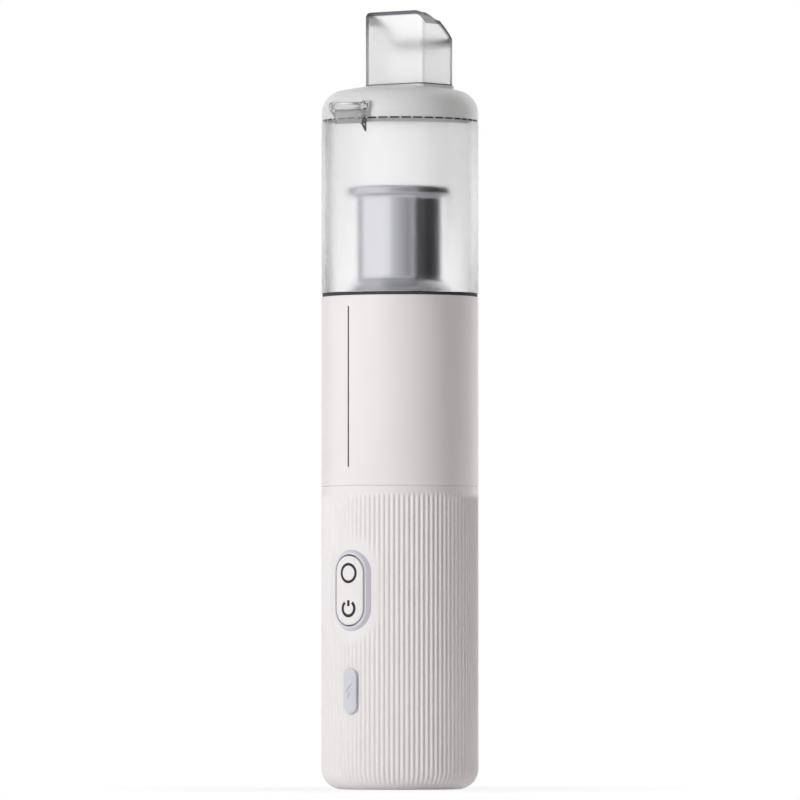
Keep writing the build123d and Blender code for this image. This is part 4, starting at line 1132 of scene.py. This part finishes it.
# Stage: a pale floor that keeps the shadow close to the object, a white surround, soft lamps, cards that
# give the gloss and the clear plastic something to show, and the camera at the photograph's place.
floor_half = 6.0
shadow_share = 0.2
shadow_reach = (0.035, 0.13)
camera_turn = math.radians(38.3)
camera_distance = 3.475
camera_height = 0.045
aim_height = 0.1487
camera_lens = 409.0
ambient = 0.42
card_heights = (0.0, 1.1)
strip_heights = (-0.4, 0.34)
glow_heights = (-0.4, 1.2)


def seen_rays(tree):
    """One where a ray comes from the camera, a reflection or clear plastic, and zero elsewhere."""
    rays = add(tree, "LightPath").outputs
    first = {0: rays["Is Camera Ray"], 1: rays["Is Glossy Ray"]}
    seen = add(tree, "Math", first, operation="MAXIMUM").outputs["Value"]
    return add(tree, "Math", {0: seen, 1: rays["Is Transmission Ray"]}, operation="MAXIMUM")


bm = bmesh.new()
bmesh.ops.create_grid(bm, x_segments=2, y_segments=2, size=floor_half)
floor = new_piece(bm, "floor")
paper, tree = new_finish("white_paper")
place = add(tree, "TexCoord").outputs["Object"]
away = add(tree, "VectorMath", {0: place}, operation="LENGTH")
near = add(tree, "MapRange", {
    "Value": away.outputs["Value"],
    "From Min": shadow_reach[0],
    "From Max": shadow_reach[1],
    "To Min": 1 - shadow_share,
    "To Max": 1.0,
})
seen = seen_rays(tree).outputs["Value"]
share = add(tree, "Math", {0: seen, 1: near.outputs["Result"]}, operation="MULTIPLY")
lit = add(tree, "BsdfDiffuse", {"Color": linear("#F4F4F4")})
glow = add(tree, "Emission", {"Color": linear("#FFFFFF"), "Strength": 1.0})
shades = {0: share.outputs["Value"], 1: lit.outputs["BSDF"], 2: glow.outputs["Emission"]}
both = add(tree, "MixShader", shades)
add(tree, "OutputMaterial", {"Surface": both.outputs["Shader"]})
finish_piece(floor, paper)
floor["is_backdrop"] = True

world = bpy.data.worlds.new("white_surround")
world.use_nodes = True
world.node_tree.nodes.clear()
bpy.context.scene.world = world
tree = world.node_tree
seen = seen_rays(tree).outputs["Value"]
strength = add(tree, "MapRange", {"Value": seen, "To Min": ambient, "To Max": 1.0})
sky = add(tree, "Background", {"Color": linear("#FFFFFF"), "Strength": strength.outputs["Result"]})
add(tree, "OutputWorld", {"Surface": sky.outputs["Background"]})


def towards(turn, distance, height):
    """A place round the object, turned from the camera's side by some degrees."""
    turn = camera_turn + math.radians(turn)
    return Vector((distance * math.sin(turn), -distance * math.cos(turn), height))


def stand_at(thing, spot):
    """Puts a lamp or a camera at a spot and turns it to the object's middle."""
    thing.location = spot
    aim = Vector((0, 0, aim_height)) - spot
    thing.rotation_euler = aim.to_track_quat("-Z", "Y").to_euler()


def soft_lamp(name, turn, distance, height, size, power):
    """A large soft lamp that faces the object's middle and doesn't show in gloss or clear plastic."""
    data = bpy.data.lights.new(name, "AREA")
    data.shape = "RECTANGLE"
    data.size, data.size_y = size
    data.energy = power
    lamp = link_object(name, data)
    stand_at(lamp, towards(turn, distance, height))
    lamp.visible_camera = False
    lamp.visible_glossy = False
    lamp.visible_transmission = False


soft_lamp("key_lamp", -44, 1.3, 0.42, (0.8, 0.8), 10.2)
soft_lamp("rim_lamp", 126, 1.2, 0.35, (0.3, 1.0), 12.5)


def card(name, colour, glow, turn, distance, half_width, heights, diffuse=False, glossy=False,
         behind=False):
    """A flat upright card that faces the object. It shows in matt surfaces, in gloss, also where that is
    seen through clear plastic, or straight through clear plastic."""
    bm = bmesh.new()
    bmesh.ops.create_grid(bm, x_segments=1, y_segments=1, size=1.0)
    size = Matrix.Diagonal((half_width, 1.0, (heights[1] - heights[0]) / 2, 1.0))
    facing = Matrix.Rotation(camera_turn + math.radians(turn), 4, "Z")
    upright = Matrix.Rotation(math.pi / 2, 4, "X")
    spot = Matrix.Translation(towards(turn, distance, sum(heights) / 2))
    bmesh.ops.transform(bm, verts=bm.verts, matrix=spot @ facing @ size @ upright)
    piece = new_piece(bm, name)
    paper, tree = new_finish(name + "_paper")
    surface = add(tree, "Emission", {"Color": linear(colour), "Strength": glow}).outputs["Emission"]
    if glossy:
        clear = add(tree, "BsdfTransparent")
        depth = add(tree, "LightPath").outputs["Glossy Depth"]
        mirrored = add(tree, "Math", {0: depth, 1: 0.5}, operation="GREATER_THAN")
        both = add(tree, "MixShader", {0: mirrored.outputs["Value"], 1: clear.outputs["BSDF"], 2: surface})
        surface = both.outputs["Shader"]
    add(tree, "OutputMaterial", {"Surface": surface})
    finish_piece(piece, paper)
    piece.visible_camera = False
    piece.visible_shadow = False
    piece.visible_diffuse = diffuse
    piece.visible_glossy = glossy
    piece.visible_transmission = glossy or behind
    piece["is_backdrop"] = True


card("shade_card", "#FFF0E1", 0.09, 93, 0.5, 0.75, card_heights, diffuse=True)
card("dark_card", "#3A3A3E", 0.05, 82, 0.49, 0.507, card_heights, glossy=True)
for step, (turn, glow) in enumerate(((-14, 0.68), (4, 0.5), (22, 0.3))):
    card(f"front_card_{step}", "#EDECF2", glow, turn, 1.0, 0.16, card_heights, glossy=True)
card("left_card", "#E8E6F2", 0.28, -128, 0.8, 0.19, card_heights, glossy=True)
card("right_strip", "#FFFFFF", 0.0, 175.6, 1.5, 0.045, strip_heights, behind=True)
card("left_strip", "#FFFFFF", 0.4, -171.9, 1.5, 0.04, strip_heights, behind=True)
card("rear_glow", "#FFFFFF", 1.1, 180, 1.6, 0.5, glow_heights, behind=True)
for side, turn in (("left", -149), ("right", 149)):
    card(f"{side}_glow", "#FFFFFF", 1.5, turn, 1.6, 0.38, glow_heights, behind=True)

data = bpy.data.cameras.new("photo_camera")
data.lens = camera_lens
data.sensor_width = 36.0
camera = link_object("photo_camera", data)
stand_at(camera, towards(0, camera_distance, camera_height))
bpy.context.scene.camera = camera
bpy.context.scene.view_settings.view_transform = "Standard"

low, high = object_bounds()
